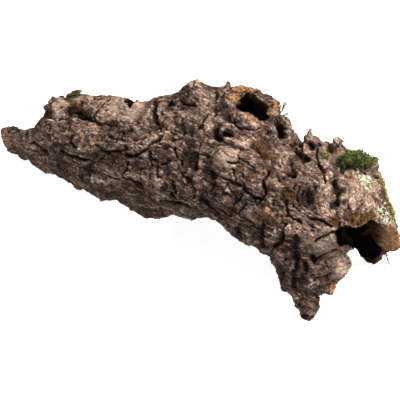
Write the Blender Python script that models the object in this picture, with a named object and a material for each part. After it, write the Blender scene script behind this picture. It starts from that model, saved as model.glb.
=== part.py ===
"""Cork bark slab: one curled, hollow piece of bark off a cork oak branch, open
underneath, standing on the tip of its narrow end and on two legs at its wide
end, with a broken branch collar on top and moss and lichen growing on it.

Metres, +Z up. X runs along the branch from the narrow tip (-X) to the open
mouth (+X), -Y is the near flank, +Y the far one. The origin is the middle of
the bounding box, on the surface that the slab stands on.
"""

import math

import bmesh
import bpy
import numpy as np
from mathutils import Matrix, Vector, noise
from mathutils.bvhtree import BVHTree

MM = 0.001

# ---------------------------------------------------------------- dimensions
WALL = 9.0            # thickness of the bark, mm
GAP = 0.0006          # between the bark and what grows on it, m
SPANS = 5             # quads between two control points round the section
STEP_MM = 9.5         # spacing of the rings along the branch

# Sections of the outer skin, in mm. Each is X and seven (y, z) points: the near
# lower edge, near flank, near shoulder, crown, far shoulder, far flank and the
# far lower edge. The underside between the two lower edges is open.
SECTIONS = [
    (-360, [(42, 17), (29, 32), (33, 56), (50, 70), (72, 81), (97, 62), (96, 30)]),
    (-345, [(35, 21), (23, 38), (28, 62), (50, 76), (77, 86), (101, 66), (98, 29)]),
    (-325, [(27, 28), (17, 46), (22, 70), (52, 83), (81, 96), (104, 68), (101, 30)]),
    (-300, [(20, 32), (10, 52), (18, 80), (50, 92), (85, 101), (107, 73), (104, 32)]),
    (-270, [(16, 31), (7, 54), (16, 88), (48, 101), (86, 108), (110, 78), (107, 36)]),
    (-240, [(14, 39), (5, 62), (15, 100), (46, 118), (88, 125), (113, 88), (110, 40)]),
    (-210, [(14, 33), (4, 64), (15, 108), (46, 136), (88, 149), (116, 102), (114, 43)]),
    (-180, [(15, 40), (4, 70), (15, 113), (46, 144), (90, 158), (118, 110), (116, 45)]),
    (-150, [(15, 53), (5, 76), (15, 116), (47, 145), (92, 156), (121, 111), (118, 44)]),
    (-120, [(15, 61), (5, 80), (15, 116), (48, 144), (92, 154), (123, 108), (120, 40)]),
    (-95, [(12, 56), (3, 76), (14, 112), (48, 142), (93, 150), (124, 105), (121, 37)]),
    (-74, [(7, 56), (0, 74), (12, 108), (47, 138), (96, 131), (125, 98), (120, 34)]),
    (-58, [(3, 55), (-3, 72), (10, 106), (46, 134), (96, 143), (126, 100), (119, 29)]),
    (-41, [(0, 51), (-5, 68), (8, 104), (46, 131), (99, 142), (127, 98), (117, 22)]),
    (-32, [(-1, 28), (-6, 58), (8, 102), (46, 130), (100, 144), (126, 96), (119, 17)]),
    (-20, [(-2, 19), (-6, 54), (9, 102), (46, 128), (101, 142), (125, 94), (119, 9)]),
    (-8, [(-3, 2), (-5, 52), (11, 104), (47, 126), (102, 139), (124, 92), (124, -1)]),
    (2, [(-3, -4), (-1, 52), (13, 106), (48, 121), (101, 136), (121, 88), (124, -2)]),
    (13, [(0, 8), (9, 54), (15, 106), (50, 108), (96, 113), (119, 74), (121, 11)]),
]
# The broken ends: the same seven points past the first and last sections.
TIP = [(-395, 65, -3), (-408, 56, 17), (-412, 60, 36), (-370, 58, 55), (-360, 72, 79), (-354, 97, 60), (-350, 97, 30)]
MOUTH = [(9, 3, 12), (37, 26, 62), (28, 18, 107), (25, 52, 92), (26, 84, 82), (30, 117, 39), (17, 119, 16)]

# Swellings and hollows of the outer skin: centre (x, y, z), radius and height, mm.
SWELLINGS = [
    ((-354, 62, 78), 13, 3),      # block at the narrow end
    ((-323, 65, 87), 11, -5),     # mossy hollow behind it
    ((-290, 58, 98), 18, 3),      # smooth plates
    ((-246, 62, 118), 9, -6),     # cleft where the crown rises
    ((-222, 66, 140), 20, 4),     # first hump of the crown
    ((-201, 88, 152), 8, 5),      # spur on the crown
    ((-162, 88, 158), 7, 8),      # spur beside the branch collar
    ((-236, 8, 80), 24, 4),       # long scale on the near flank
    ((-159, 18, 120), 13, -6),    # dark pocket in the near flank
    ((-176, 6, 78), 12, 4),       # lump under it
    ((-120, 30, 128), 13, 5),     # pale boss
    ((-88, 80, 146), 8, -8),      # crevice beside the branch collar
    ((-78, 84, 146), 7, 6),       # fin beyond it
    ((-61, 97, 142), 7, 9),       # horn
    ((-44, 98, 142), 6, 5),       # knob
    ((-31, 100, 144), 6, 5),      # knob
    ((-23, 35, 122), 10, -6),     # round knot pocket
    ((-2, 46, 122), 15, 5),       # pale lump
    ((2, 108, 134), 7, 6),        # knob at the far shoulder
    ((-12, -3, 50), 7, -5),       # valley down the near leg
    ((16, 10, 60), 15, 4),        # right swell of the near leg
    ((-230, 112, 90), 22, 5),
    ((-90, 122, 80), 20, 5),
    ((-330, 100, 60), 18, 4),
]

# The collar of the broken branch: the middle of its rim, which way it faces, its
# radii at the rim and at the root, the bore, and how far it reaches down.
COLLAR_AT = (-127.0, 87.0, 160.5)
COLLAR_FACES = (0.16, -0.06, 0.98)
COLLAR_R, COLLAR_ROOT_R, COLLAR_BORE_R, COLLAR_DEEP = 27.5, 32.0, 18.0, 30.0

# The hole worn through the crown near the narrow end: middle and half sizes.
CROWN_HOLE_AT, CROWN_HOLE_HALF = (-270.0, 80.0, 108.0), (8.0, 7.0, 16.0)


# What grows on the bark. A mound follows the bark through its points: each is a
# point near the bark, the half width there and the height, mm.
GREEN = ((0.055, 0.115, 0.016), 0.95)
OLIVE = ((0.200, 0.180, 0.030), 0.95)
BROWN = ((0.090, 0.048, 0.014), 0.95)
PALE = ((0.420, 0.460, 0.360), 0.9)
MOUNDS = {
    "moss_cushion": (GREEN, [((-18, 89, 141), 8, 5), ((-9, 93, 141), 11, 9), ((0, 97, 139), 10, 8), ((7, 100, 134), 7, 5)]),
    "moss_mat_rim": (OLIVE, [((14, 114, 116), 6, 3), ((17, 115, 98), 7, 4.5), ((22, 115, 80), 7, 5), ((27, 116, 62), 7, 5), ((30, 118, 46), 5, 3)]),
    "moss_patch_tip": (OLIVE, [((-345, 78, 92), 5, 3), ((-336, 77, 93), 6, 4), ((-328, 76, 92), 4, 3)]),
    "moss_dry_hollow": (BROWN, [((-334, 63, 87), 5, 2), ((-325, 63, 86), 6, 3), ((-318, 61, 87), 4, 2)]),
    "moss_tuft_collar": (OLIVE, [((-105, 97, 153), 4, 2.5), ((-101, 93, 149), 5, 4), ((-98, 87, 146), 4, 2.5)]),
    "moss_dry_saddle": (BROWN, [((-100, 50, 143), 4, 1.5), ((-92, 51, 142), 5, 2.5), ((-82, 48, 139), 4, 1.5)]),
    "moss_dry_pocket": (BROWN, [((-44, 30, 126), 4, 1.5), ((-40, 26, 122), 5, 2.5), ((-38, 21, 116), 4, 1.5)]),
    "moss_dry_chip": (BROWN, [((-52, 5, 98), 4, 1.5), ((-46, 3, 96), 5, 2.5), ((-40, 1, 92), 4, 1.5)]),
    "moss_dry_mouth": (BROWN, [((14, 26, 112), 4, 2), ((18, 42, 104), 5, 3), ((21, 58, 97), 5, 3), ((22, 70, 92), 4, 2)]),
    "moss_patch_knob": (OLIVE, [((-40, 82, 143), 3, 2), ((-35, 82, 143), 4.5, 3), ((-31, 80, 142), 3, 2)]),
    "lichen_crust_hood": (PALE, [((5, 82, 127), 4, 1.2), ((9, 85, 122), 6, 1.8), ((14, 87, 113), 4, 1.2)]),
    "lichen_crust_rim": (PALE, [((22, 92, 84), 4, 1.2), ((24, 95, 76), 5.5, 1.8), ((27, 100, 64), 4, 1.2)]),
}
# Thread lichen: the point near the bark where it holds, its thickness, and its
# strands, each a list of offsets from there.
WISP = ((0.36, 0.34, 0.20), 0.85)
WISPS = {
    "lichen_wisp_collar": ((-99, 111, 145), 0.8, [[(3, 3, 4), (7, 3, 9), (9, 4, 12)], [(4, 1, 2), (8, 1, 2), (11, 0, 4)]]),
    "lichen_wisp_knob": ((-31, 101, 149), 0.8, [[(-1, 0, 4), (3, 1, 7), (7, 2, 6)], [(3, 0, 2), (7, 0, 3), (9, 1, 0)]]),
    "lichen_thread_mouth": ((21, 119, 21), 0.7, [[(4, 1, -4), (6, 2, -9), (9, 0, -12), (8, 2, -15)]]),
}


# ------------------------------------------------------------------- helpers
def material(name, colour, rough):
    m = bpy.data.materials.new(name)
    m.use_nodes = True
    shader = m.node_tree.nodes["Principled BSDF"]
    shader.inputs["Base Color"].default_value = (*colour, 1)
    shader.inputs["Roughness"].default_value = rough
    shader.inputs["Metallic"].default_value = 0
    return m


def add_object(name, bm, mat):
    """A named object from a bmesh, faces pointing out, flat triangles."""
    bmesh.ops.recalc_face_normals(bm, faces=bm.faces)
    me = bpy.data.meshes.new(name)
    bm.to_mesh(me)
    bm.free()
    o = bpy.data.objects.new(name, me)
    bpy.context.scene.collection.objects.link(o)
    if mat:
        me.materials.append(mat)
    return o


def catmull(points, t):
    """Catmull-Rom curve through the rows of points at t, in units of rows."""
    p = np.asarray(points, float)
    n = len(p) - 1
    t = np.clip(np.asarray(t, float), 0, n)
    i = np.minimum(t.astype(int), n - 1)
    f = (t - i)[:, None] if p.ndim == 2 else (t - i)[:, None, None]
    p0 = np.where((i > 0)[(...,) + (None,) * (p.ndim - 1)], p[np.maximum(i - 1, 0)], 2 * p[i] - p[i + 1])
    p1, p2 = p[i], p[i + 1]
    j = np.minimum(i + 2, n)
    p3 = np.where((i + 2 <= n)[(...,) + (None,) * (p.ndim - 1)], p[j], 2 * p2 - p1)
    return 0.5 * (2 * p1 + (p2 - p0) * f + (2 * p0 - 5 * p1 + 4 * p2 - p3) * f**2 + (3 * p1 - p0 - 3 * p2 + p3) * f**3)


def skin_points():
    """The smooth outer skin as a grid [ring, point, xyz] in mm."""
    rows = np.array([TIP] + [[(x, y, z) for y, z in section] for x, section in SECTIONS] + [MOUTH], float)
    xs = rows[:, :, 0].mean(axis=1)
    ring_t = []
    for k in range(len(xs) - 1):
        n = max(1, math.ceil((xs[k + 1] - xs[k]) / STEP_MM - 0.3))
        ring_t += [k + j / n for j in range(n)]
    ring_t.append(len(xs) - 1)
    along = catmull(rows, np.array(ring_t))                      # rings x 7 x 3
    v = np.linspace(0, 6, 6 * SPANS + 1)
    return np.stack([catmull(ring, v) for ring in along])


def grid_normals(p):
    """Outward unit normals of the skin grid."""
    du = np.gradient(p, axis=0)
    dv = np.gradient(p, axis=1)
    n = np.cross(dv, du)
    n /= np.linalg.norm(n, axis=2, keepdims=True) + 1e-9
    middle = p.mean(axis=1, keepdims=True)
    flip = np.sign(((p - middle) * n).sum(axis=2, keepdims=True).mean())
    return n * flip


def roughness_at(p):
    """Coarse lumps of the bark at a point in mm, in mm: long folds along the
    branch, broken by cross folds."""
    a = noise.noise(Vector((p[0] / 60, p[1] / 26, p[2] / 26)))
    b = noise.noise(Vector((p[0] / 24 + 9, p[1] / 20, p[2] / 20 + 5)))
    return 4.2 * a + 2.6 * b


def swelling_at(p):
    return sum(h * math.exp(-(np.sum((p - np.array(c)) ** 2)) / (r * r)) for c, r, h in SWELLINGS)


def solid_inside(skin, normal, depth):
    """The space inside the skin, offset by depth, closed across the underside
    and at both ends: what the collar's root is trimmed by."""
    p = skin - normal * depth
    n, m = p.shape[:2]
    bm = bmesh.new()
    v = [[bm.verts.new(p[i, j] * MM) for j in range(m)] for i in range(n)]
    for i in range(n - 1):
        for j in range(m):
            k = (j + 1) % m
            bm.faces.new((v[i][j], v[i + 1][j], v[i + 1][k], v[i][k]))
    for i in (0, n - 1):
        c = bm.verts.new(p[i].mean(axis=0) * MM)
        for j in range(m):
            bm.faces.new((v[i][j], v[i][(j + 1) % m], c))
    bmesh.ops.triangulate(bm, faces=bm.faces)
    return bm


def turned(at, faces, rings, sides, wobble, phase):
    """A solid of rings round an axis: rings are (height along the axis, radius)
    in mm; wobble makes the outline uneven."""
    axis = Vector(faces).normalized()
    turn = axis.to_track_quat("Z", "Y").to_matrix()
    bm = bmesh.new()
    loops = []
    for h, r in rings:
        loop = []
        for k in range(sides):
            a = 2 * math.pi * k / sides
            rr = r * (1 + wobble * (math.sin(2 * a + phase) * 0.6 + math.sin(3 * a + 2 * phase + h * 0.05) * 0.5))
            hh = h + (wobble * 16 * math.sin(2 * a + phase * 3) if h > -2 else 0)
            loop.append(bm.verts.new((Vector(at) + turn @ Vector((rr * math.cos(a), rr * math.sin(a), hh))) * MM))
        loops.append(loop)
    for a, b in zip(loops, loops[1:]):
        for k in range(sides):
            q = (k + 1) % sides
            bm.faces.new((a[k], a[q], b[q], b[k]))
    for loop, flip in ((loops[0], True), (loops[-1], False)):
        c = bm.verts.new(sum((x.co for x in loop), Vector()) / sides)
        for k in range(sides):
            tri = (loop[k], loop[(k + 1) % sides], c)
            bm.faces.new(tri[::-1] if flip else tri)
    bmesh.ops.triangulate(bm, faces=bm.faces)
    return bm


def lump(at, half, levels, wobble=0.12, phase=0.0, turn=(0, 0, 0)):
    """An uneven closed blob: an ellipsoid of the given half sizes in mm."""
    bm = bmesh.new()
    bmesh.ops.create_icosphere(bm, subdivisions=levels, radius=1)
    rot = Matrix.Rotation(turn[2], 3, "Z") @ Matrix.Rotation(turn[1], 3, "Y") @ Matrix.Rotation(turn[0], 3, "X")
    for v in bm.verts:
        k = 1 + wobble * noise.noise(v.co * 1.9 + Vector((phase, phase * 2, 1)))
        v.co = (rot @ Vector((v.co.x * half[0] * k, v.co.y * half[1] * k, v.co.z * half[2] * k)) + Vector(at)) * MM
    return bm


def boolean(target, other, operation):
    m = target.modifiers.new(operation.lower(), "BOOLEAN")
    m.object = other
    m.operation = operation
    m.solver = "EXACT"
    other.hide_render = True
    other.display_type = "WIRE"


def applied(o):
    """Replaces an object's mesh by its evaluated one and drops its modifiers."""
    dg = bpy.context.evaluated_depsgraph_get()
    me = bpy.data.meshes.new_from_object(o.evaluated_get(dg), preserve_all_data_layers=False)
    old = o.data
    o.modifiers.clear()
    o.data = me
    bpy.data.meshes.remove(old)


def main_piece(o):
    """Keeps the largest connected body of a mesh."""
    bm = bmesh.new()
    bm.from_mesh(o.data)
    left, bodies = set(bm.verts), []
    while left:
        seed = left.pop()
        body, front = {seed}, [seed]
        while front:
            v = front.pop()
            for e in v.link_edges:
                w = e.other_vert(v)
                if w in left:
                    left.discard(w)
                    body.add(w)
                    front.append(w)
        bodies.append(body)
    bodies.sort(key=len)
    drop = [v for b in bodies[:-1] for v in b]
    bmesh.ops.delete(bm, geom=drop, context="VERTS")
    bm.to_mesh(o.data)
    bm.free()


# ---------------------------------------------------------------------- bark
def build_bark(mat):
    skin = skin_points()
    smooth = grid_normals(skin)
    n, m = skin.shape[:2]
    rough = np.zeros((n, m, 1))
    for i in range(n):
        for j in range(m):
            rough[i, j, 0] = roughness_at(skin[i, j]) + swelling_at(skin[i, j])
    bumped = skin + smooth * rough
    # the inner face follows the folds of the outer one at a third of their height
    outer, inner = bumped, skin + smooth * (rough * 0.35) - smooth * WALL
    bm = shell_between(outer, inner)
    bark = add_object("bark", bm, mat)

    core = add_object("core_guide", solid_inside(skin, smooth, WALL * 0.55), None)
    collar = add_object(
        "collar_guide",
        turned(COLLAR_AT, COLLAR_FACES, [(-COLLAR_DEEP, COLLAR_ROOT_R), (-12, COLLAR_R + 3), (0, COLLAR_R)], 18, 0.1, 0.7),
        None,
    )
    boolean(collar, core, "DIFFERENCE")
    applied(collar)
    main_piece(collar)
    boolean(bark, collar, "UNION")
    applied(bark)
    bore = add_object(
        "bore_guide",
        turned(COLLAR_AT, COLLAR_FACES, [(-70, 10.0), (-30, COLLAR_BORE_R - 2.5), (-8, COLLAR_BORE_R - 1), (14, COLLAR_BORE_R + 3)], 14, 0.12, 2.1),
        None,
    )
    boolean(bark, bore, "DIFFERENCE")
    applied(bark)
    hole = add_object("hole_guide", lump(CROWN_HOLE_AT, CROWN_HOLE_HALF, 2, 0.3, 3.0), None)
    boolean(bark, hole, "DIFFERENCE")
    applied(bark)
    # the feet are worn flat where the slab stands
    ground = bmesh.new()
    bmesh.ops.create_cube(ground, size=1, matrix=Matrix.Translation((-0.2, 0.06, -0.05)) @ Matrix.Diagonal((0.7, 0.4, 0.1, 1)))
    ground = add_object("ground_guide", ground, None)
    boolean(bark, ground, "DIFFERENCE")
    applied(bark)
    main_piece(bark)
    for o in (core, collar, bore, hole, ground):
        bpy.data.objects.remove(o)
    tidy(bark)
    return bark


def shell_between(outer, inner):
    n, m = outer.shape[:2]
    bm = bmesh.new()
    vo = [[bm.verts.new(outer[i, j] * MM) for j in range(m)] for i in range(n)]
    vi = [[bm.verts.new(inner[i, j] * MM) for j in range(m)] for i in range(n)]
    for i in range(n - 1):
        for j in range(m - 1):
            bm.faces.new((vo[i][j], vo[i + 1][j], vo[i + 1][j + 1], vo[i][j + 1]))
            bm.faces.new((vi[i][j], vi[i][j + 1], vi[i + 1][j + 1], vi[i + 1][j]))
        for j in (0, m - 1):
            quad = (vo[i][j], vi[i][j], vi[i + 1][j], vo[i + 1][j])
            bm.faces.new(quad if j == 0 else quad[::-1])
    for i in (0, n - 1):
        for j in range(m - 1):
            quad = (vo[i][j], vo[i][j + 1], vi[i][j + 1], vi[i][j])
            bm.faces.new(quad if i == 0 else quad[::-1])
    bmesh.ops.triangulate(bm, faces=bm.faces)
    return bm


def bark_tree(bark):
    return BVHTree.FromPolygons([v.co.copy() for v in bark.data.vertices], [tuple(f.vertices) for f in bark.data.polygons])


def seat(tree, point):
    """The nearest point of the bark, in m, and the bark's normal there."""
    co, normal, _, _ = tree.find_nearest(Vector(point) * MM)
    return co, normal


def swollen(bark):
    """The bark grown by the gap that everything on it keeps."""
    me = bark.data.copy()
    o = bpy.data.objects.new("gap_guide", me)
    bpy.context.scene.collection.objects.link(o)
    normals = [v.normal.copy() for v in bark.data.vertices]
    for v, n in zip(me.vertices, normals):
        v.co = v.co + n * GAP
    return o


def mound_mesh(tree, stations):
    """A closed cushion that follows the bark through its stations."""
    seats = [seat(tree, p) for p, _, _ in stations]
    pts = catmull(np.array([s[0] for s in seats]), np.linspace(0, len(seats) - 1, 2 * len(seats) - 1))
    nrm = catmull(np.array([s[1] for s in seats]), np.linspace(0, len(seats) - 1, 2 * len(seats) - 1))
    size = catmull(np.array([(w, h) for _, w, h in stations], float), np.linspace(0, len(seats) - 1, 2 * len(seats) - 1)) * MM
    along = np.gradient(pts, axis=0)
    bm = bmesh.new()
    sides, loops = 10, []
    for p, n, t, (w, h) in zip(pts, nrm, along, size):
        p, n, t = Vector(p), Vector(n).normalized(), Vector(t).normalized()
        side = t.cross(n).normalized()
        up = side.cross(t).normalized()
        if up.dot(n) < 0:
            up = -up
        loop = []
        for k in range(sides):
            a = 2 * math.pi * k / sides
            k2 = 1 + 0.16 * noise.noise(p * 220 + Vector((k * 1.7, 0, 0)))
            loop.append(bm.verts.new(p + side * (w * math.cos(a) * k2) + up * (max(h * math.sin(a), -0.003) * k2)))
        loops.append(loop)
    for a, b in zip(loops, loops[1:]):
        for k in range(sides):
            q = (k + 1) % sides
            bm.faces.new((a[k], a[q], b[q], b[k]))
    for loop, p, t, (w, h) in ((loops[0], pts[0], -along[0], size[0]), (loops[-1], pts[-1], along[-1], size[-1])):
        tip = bm.verts.new(Vector(p) + Vector(t).normalized() * w * 0.7)
        for k in range(sides):
            bm.faces.new((loop[k], loop[(k + 1) % sides], tip))
    bmesh.ops.triangulate(bm, faces=bm.faces)
    return bm


def strand_mesh(points, radius, sides=6):
    """A closed tapering thread through the points, m."""
    pts = [Vector(p) for p in catmull(np.array(points), np.linspace(0, len(points) - 1, 2 * len(points) - 1))]
    bm = bmesh.new()
    loops = []
    for i, p in enumerate(pts):
        t = (pts[min(i + 1, len(pts) - 1)] - pts[max(i - 1, 0)]).normalized()
        a0 = t.orthogonal().normalized() if i == 0 else (a0 - t * a0.dot(t)).normalized()
        b0 = t.cross(a0)
        r = radius * (1 - 0.45 * i / (len(pts) - 1))
        loops.append([bm.verts.new(p + (a0 * math.cos(2 * math.pi * k / sides) + b0 * math.sin(2 * math.pi * k / sides)) * r) for k in range(sides)])
    for a, b in zip(loops, loops[1:]):
        for k in range(sides):
            q = (k + 1) % sides
            bm.faces.new((a[k], a[q], b[q], b[k]))
    bm.faces.new(loops[0][::-1])
    bm.faces.new(loops[-1])
    bmesh.ops.triangulate(bm, faces=bm.faces)
    return bm


def clear_of_bark(o, guide):
    """Cuts away what lies in the bark or in the gap over it."""
    boolean(o, guide, "DIFFERENCE")
    o.modifiers[-1].use_self = True
    applied(o)
    main_piece(o)
    tidy(o)


def build_growths(bark):
    tree = bark_tree(bark)
    guide = swollen(bark)
    made = []
    mats = {}
    for name, ((colour, rough), stations) in MOUNDS.items():
        mat = mats.setdefault(colour, material("growth_%d" % len(mats), colour, rough)) if colour not in mats else mats[colour]
        o = add_object(name, mound_mesh(tree, stations), mat)
        clear_of_bark(o, guide)
        made.append(o)
    mat = material("thread_lichen", *WISP)
    for name, (at, radius, strands) in WISPS.items():
        foot, normal = seat(tree, at)
        stems = []
        for k, offsets in enumerate(strands):
            pts = [foot - normal * 0.0008] + [foot + normal * 0.0015 + Vector(d) * MM for d in offsets]
            stems.append(add_object(name if k == 0 else "strand_guide_%d" % k, strand_mesh(pts, radius * MM), mat if k == 0 else None))
        for extra in stems[1:]:
            boolean(stems[0], extra, "UNION")
            applied(stems[0])
            bpy.data.objects.remove(extra)
        clear_of_bark(stems[0], guide)
        made.append(stems[0])
    bpy.data.objects.remove(guide)
    return made


def tidy(o):
    """Merges slivers that the cuts leave and triangulates what is left."""
    bm = bmesh.new()
    bm.from_mesh(o.data)
    bmesh.ops.remove_doubles(bm, verts=bm.verts, dist=0.00005)
    bmesh.ops.dissolve_degenerate(bm, edges=bm.edges, dist=0.00005)
    bmesh.ops.triangulate(bm, faces=[f for f in bm.faces if len(f.verts) > 3])
    bmesh.ops.recalc_face_normals(bm, faces=bm.faces)
    bm.to_mesh(o.data)
    bm.free()


def build():
    for o in list(bpy.data.objects):
        bpy.data.objects.remove(o)
    bark = build_bark(material("cork_bark", (0.22, 0.165, 0.135), 0.9))
    return [bark] + build_growths(bark)


def main():
    parts = build()
    # the origin goes to the middle of the bounding box, on the standing surface
    low = np.array([1e9] * 3)
    high = -low
    for o in parts:
        co = np.array([v.co for v in o.data.vertices])
        low, high = np.minimum(low, co.min(0)), np.maximum(high, co.max(0))
    shift = Vector((-(low[0] + high[0]) / 2, -(low[1] + high[1]) / 2, -low[2]))
    for o in parts:
        o.data.transform(Matrix.Translation(shift))
    print("shift_mm", [round(s * 1000, 3) for s in shift], "size_mm", [round(float(v), 1) for v in (high - low) * 1000])
    print("triangles", {o.name: len(o.data.polygons) for o in parts})
    return parts, shift


PARTS, SHIFT = main()
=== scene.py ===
import math

import bmesh
import bpy
import numpy as np
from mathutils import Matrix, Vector
from mathutils.bvhtree import BVHTree
from mathutils.kdtree import KDTree


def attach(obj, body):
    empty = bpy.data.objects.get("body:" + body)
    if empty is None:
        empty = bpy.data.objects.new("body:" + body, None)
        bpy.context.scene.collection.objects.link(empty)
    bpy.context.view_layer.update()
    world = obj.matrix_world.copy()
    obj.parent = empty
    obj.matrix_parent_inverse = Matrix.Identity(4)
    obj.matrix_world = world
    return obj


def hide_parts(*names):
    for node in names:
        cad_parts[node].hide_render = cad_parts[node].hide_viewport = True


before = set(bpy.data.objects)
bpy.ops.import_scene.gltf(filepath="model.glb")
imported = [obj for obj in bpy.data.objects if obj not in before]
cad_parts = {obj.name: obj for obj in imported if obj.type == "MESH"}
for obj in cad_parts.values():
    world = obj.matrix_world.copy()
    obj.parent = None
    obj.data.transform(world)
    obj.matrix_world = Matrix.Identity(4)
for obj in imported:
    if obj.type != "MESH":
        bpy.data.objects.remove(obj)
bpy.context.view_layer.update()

scene = bpy.context.scene
rng = np.random.default_rng(11)

# ---------------------------------------------------------------- sizes
VOXEL = 0.0010          # grid of the bark's skin
BARK_FACES = 192000     # triangles kept for the bark
HIDDEN_FACES = 62000    # of them, about this many on the underside and the back
CAMERA_AWAY = 8.0       # metres from the camera to the middle of the slab

# ---------------------------------------------------------------- the reference view
# Directions of the reference view, which looks down at 35 degrees from 35 degrees to the right of the slab's long side. One picture unit is one millimetre.
RIGHT = np.array((0.819, 0.574, 0.0))
DOWN = np.array((0.329, -0.470, -0.819))
TOWARDS = np.array((0.470, -0.671, 0.574))
TARGET = np.array((0.0237, -0.0108, 0.0484))


def in_view(points):
    """Picture x, picture y and nearness, in millimetres, of points in metres."""
    from_target = points - TARGET
    near = from_target @ TOWARDS
    scale = 1000.0 * CAMERA_AWAY / (CAMERA_AWAY - near)
    return np.stack([200 + (from_target @ RIGHT) * scale, 200 + (from_target @ DOWN) * scale, near * 1000.0], 1)


def smoothstep(low, high, x):
    t = np.clip((x - low) / (high - low), 0.0, 1.0)
    return t * t * (3.0 - 2.0 * t)


# ---------------------------------------------------------------- noise
def hashed(i, j, k, seed):
    h = (i * 374761393 + j * 668265263 + k * 1442695041 + seed * 1274126177) & 0xFFFFFFFF
    h = ((h ^ (h >> 13)) * 1274126177) & 0xFFFFFFFF
    h = ((h ^ (h >> 15)) * 1103515245) & 0xFFFFFFFF
    return (h ^ (h >> 16)) & 0xFFFFFFFF


_g = np.random.default_rng(3).normal(size=(256, 3))
GRADIENTS = _g / np.linalg.norm(_g, axis=1, keepdims=True)


def noise3(points, size, seed):
    """Gradient noise from about -1 to 1. size is the spacing of its lattice, a number or one for each axis."""
    q = points / size
    low = np.floor(q).astype(np.int64)
    f = q - low
    u = f * f * f * (f * (f * 6 - 15) + 10)
    total = np.zeros(len(q))
    for dx in (0, 1):
        for dy in (0, 1):
            for dz in (0, 1):
                g = GRADIENTS[hashed(low[:, 0] + dx, low[:, 1] + dy, low[:, 2] + dz, seed) & 255]
                d = f - np.array((dx, dy, dz))
                w = (u[:, 0] if dx else 1 - u[:, 0]) * (u[:, 1] if dy else 1 - u[:, 1]) * (u[:, 2] if dz else 1 - u[:, 2])
                total += w * (g * d).sum(1)
    return total * 1.7


def fractal(points, size, seed, octaves=4, gain=0.5):
    size = np.array(size, float)
    total, amount, most = 0.0, 1.0, 0.0
    for k in range(octaves):
        total = total + amount * noise3(points, size / 2.0**k, seed + 31 * k)
        most += amount
        amount *= gain
    return total / most


def cells(points, size, seed, jitter=0.92):
    """Distance to the nearest cell border in the points' units, and a number from 0 to 1 for each cell."""
    q = points / size
    low = np.floor(q).astype(np.int64)
    f1 = np.full(len(q), 9.0)
    f2 = np.full(len(q), 9.0)
    name = np.zeros(len(q), np.int64)
    for dx in (-1, 0, 1):
        for dy in (-1, 0, 1):
            for dz in (-1, 0, 1):
                c = low + np.array((dx, dy, dz))
                h = hashed(c[:, 0], c[:, 1], c[:, 2], seed)
                spot = np.stack([(h & 1023) / 1023.0, ((h >> 10) & 1023) / 1023.0, ((h >> 20) & 1023) / 1023.0], 1)
                d = np.linalg.norm(q - (c + 0.5 + jitter * (spot - 0.5)), axis=1)
                nearer = d < f1
                f2 = np.where(nearer, f1, np.minimum(f2, d))
                name = np.where(nearer, h, name)
                f1 = np.where(nearer, d, f1)
    return (f2 - f1) * 0.5 * np.mean(size), ((name >> 7) & 4095) / 4095.0


# ---------------------------------------------------------------- meshes
def read_mesh(mesh):
    verts = np.zeros(len(mesh.vertices) * 3, np.float32)
    mesh.vertices.foreach_get("co", verts)
    return verts.reshape(-1, 3).astype(float)


def triangles_of(mesh):
    mesh.calc_loop_triangles()
    out = np.zeros(len(mesh.loop_triangles) * 3, np.int32)
    mesh.loop_triangles.foreach_get("vertices", out)
    return out.reshape(-1, 3)


def make_mesh(name, verts, faces):
    mesh = bpy.data.meshes.new(name)
    mesh.from_pydata([tuple(v) for v in verts], [], [tuple(int(i) for i in f) for f in faces])
    mesh.validate()
    mesh.update()
    return mesh


def fast_mesh(name, verts, tris):
    """A mesh of triangles from arrays."""
    mesh = bpy.data.meshes.new(name)
    mesh.vertices.add(len(verts))
    mesh.vertices.foreach_set("co", np.asarray(verts, np.float32).ravel())
    mesh.loops.add(len(tris) * 3)
    mesh.loops.foreach_set("vertex_index", np.asarray(tris, np.int32).ravel())
    mesh.polygons.add(len(tris))
    mesh.polygons.foreach_set("loop_start", np.arange(len(tris), dtype=np.int32) * 3)
    mesh.update(calc_edges=True)
    mesh.validate()
    return mesh


def show(name, mesh, material, smooth=True):
    ob = bpy.data.objects.new(name, mesh)
    scene.collection.objects.link(ob)
    mesh.materials.clear()
    mesh.materials.append(material)
    mesh.polygons.foreach_set("use_smooth", [smooth] * len(mesh.polygons))
    return ob


def with_modifier(mesh, kind, **settings):
    """The mesh as one modifier leaves it."""
    ob = bpy.data.objects.new("work", mesh)
    scene.collection.objects.link(ob)
    modifier = ob.modifiers.new("m", kind)
    for key, value in settings.items():
        setattr(modifier, key, value)
    out = bpy.data.meshes.new_from_object(ob.evaluated_get(bpy.context.evaluated_depsgraph_get()))
    bpy.data.objects.remove(ob)
    return out


def set_attribute(mesh, name, values):
    a = mesh.attributes.new(name, "FLOAT", "POINT")
    a.data.foreach_set("value", np.asarray(values, np.float32))


def tube(path, radii, sides=7):
    """A closed tube along a path of points, rounded off at both ends."""
    path = [Vector(p) for p in path]
    verts, faces = [], []
    side = None
    for k, p in enumerate(path):
        along = (path[min(k + 1, len(path) - 1)] - path[max(k - 1, 0)]).normalized()
        if side is None:
            side = along.orthogonal().normalized()
        side = (side - along * side.dot(along)).normalized()
        other = along.cross(side)
        for s in range(sides):
            a = 2 * math.pi * s / sides
            verts.append(p + (side * math.cos(a) + other * math.sin(a)) * radii[k])
    for k in range(len(path) - 1):
        for s in range(sides):
            a, b = k * sides + s, k * sides + (s + 1) % sides
            faces.append((a, b, b + sides))
            faces.append((a, b + sides, a + sides))
    first, last = len(verts), len(verts) + 1
    verts.append(path[0] - (path[1] - path[0]).normalized() * radii[0] * 0.6)
    verts.append(path[-1] + (path[-1] - path[-2]).normalized() * radii[-1] * 0.8)
    top = (len(path) - 1) * sides
    for s in range(sides):
        faces.append((first, (s + 1) % sides, s))
        faces.append((last, top + s, top + (s + 1) % sides))
    return [tuple(v) for v in verts], faces


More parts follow.
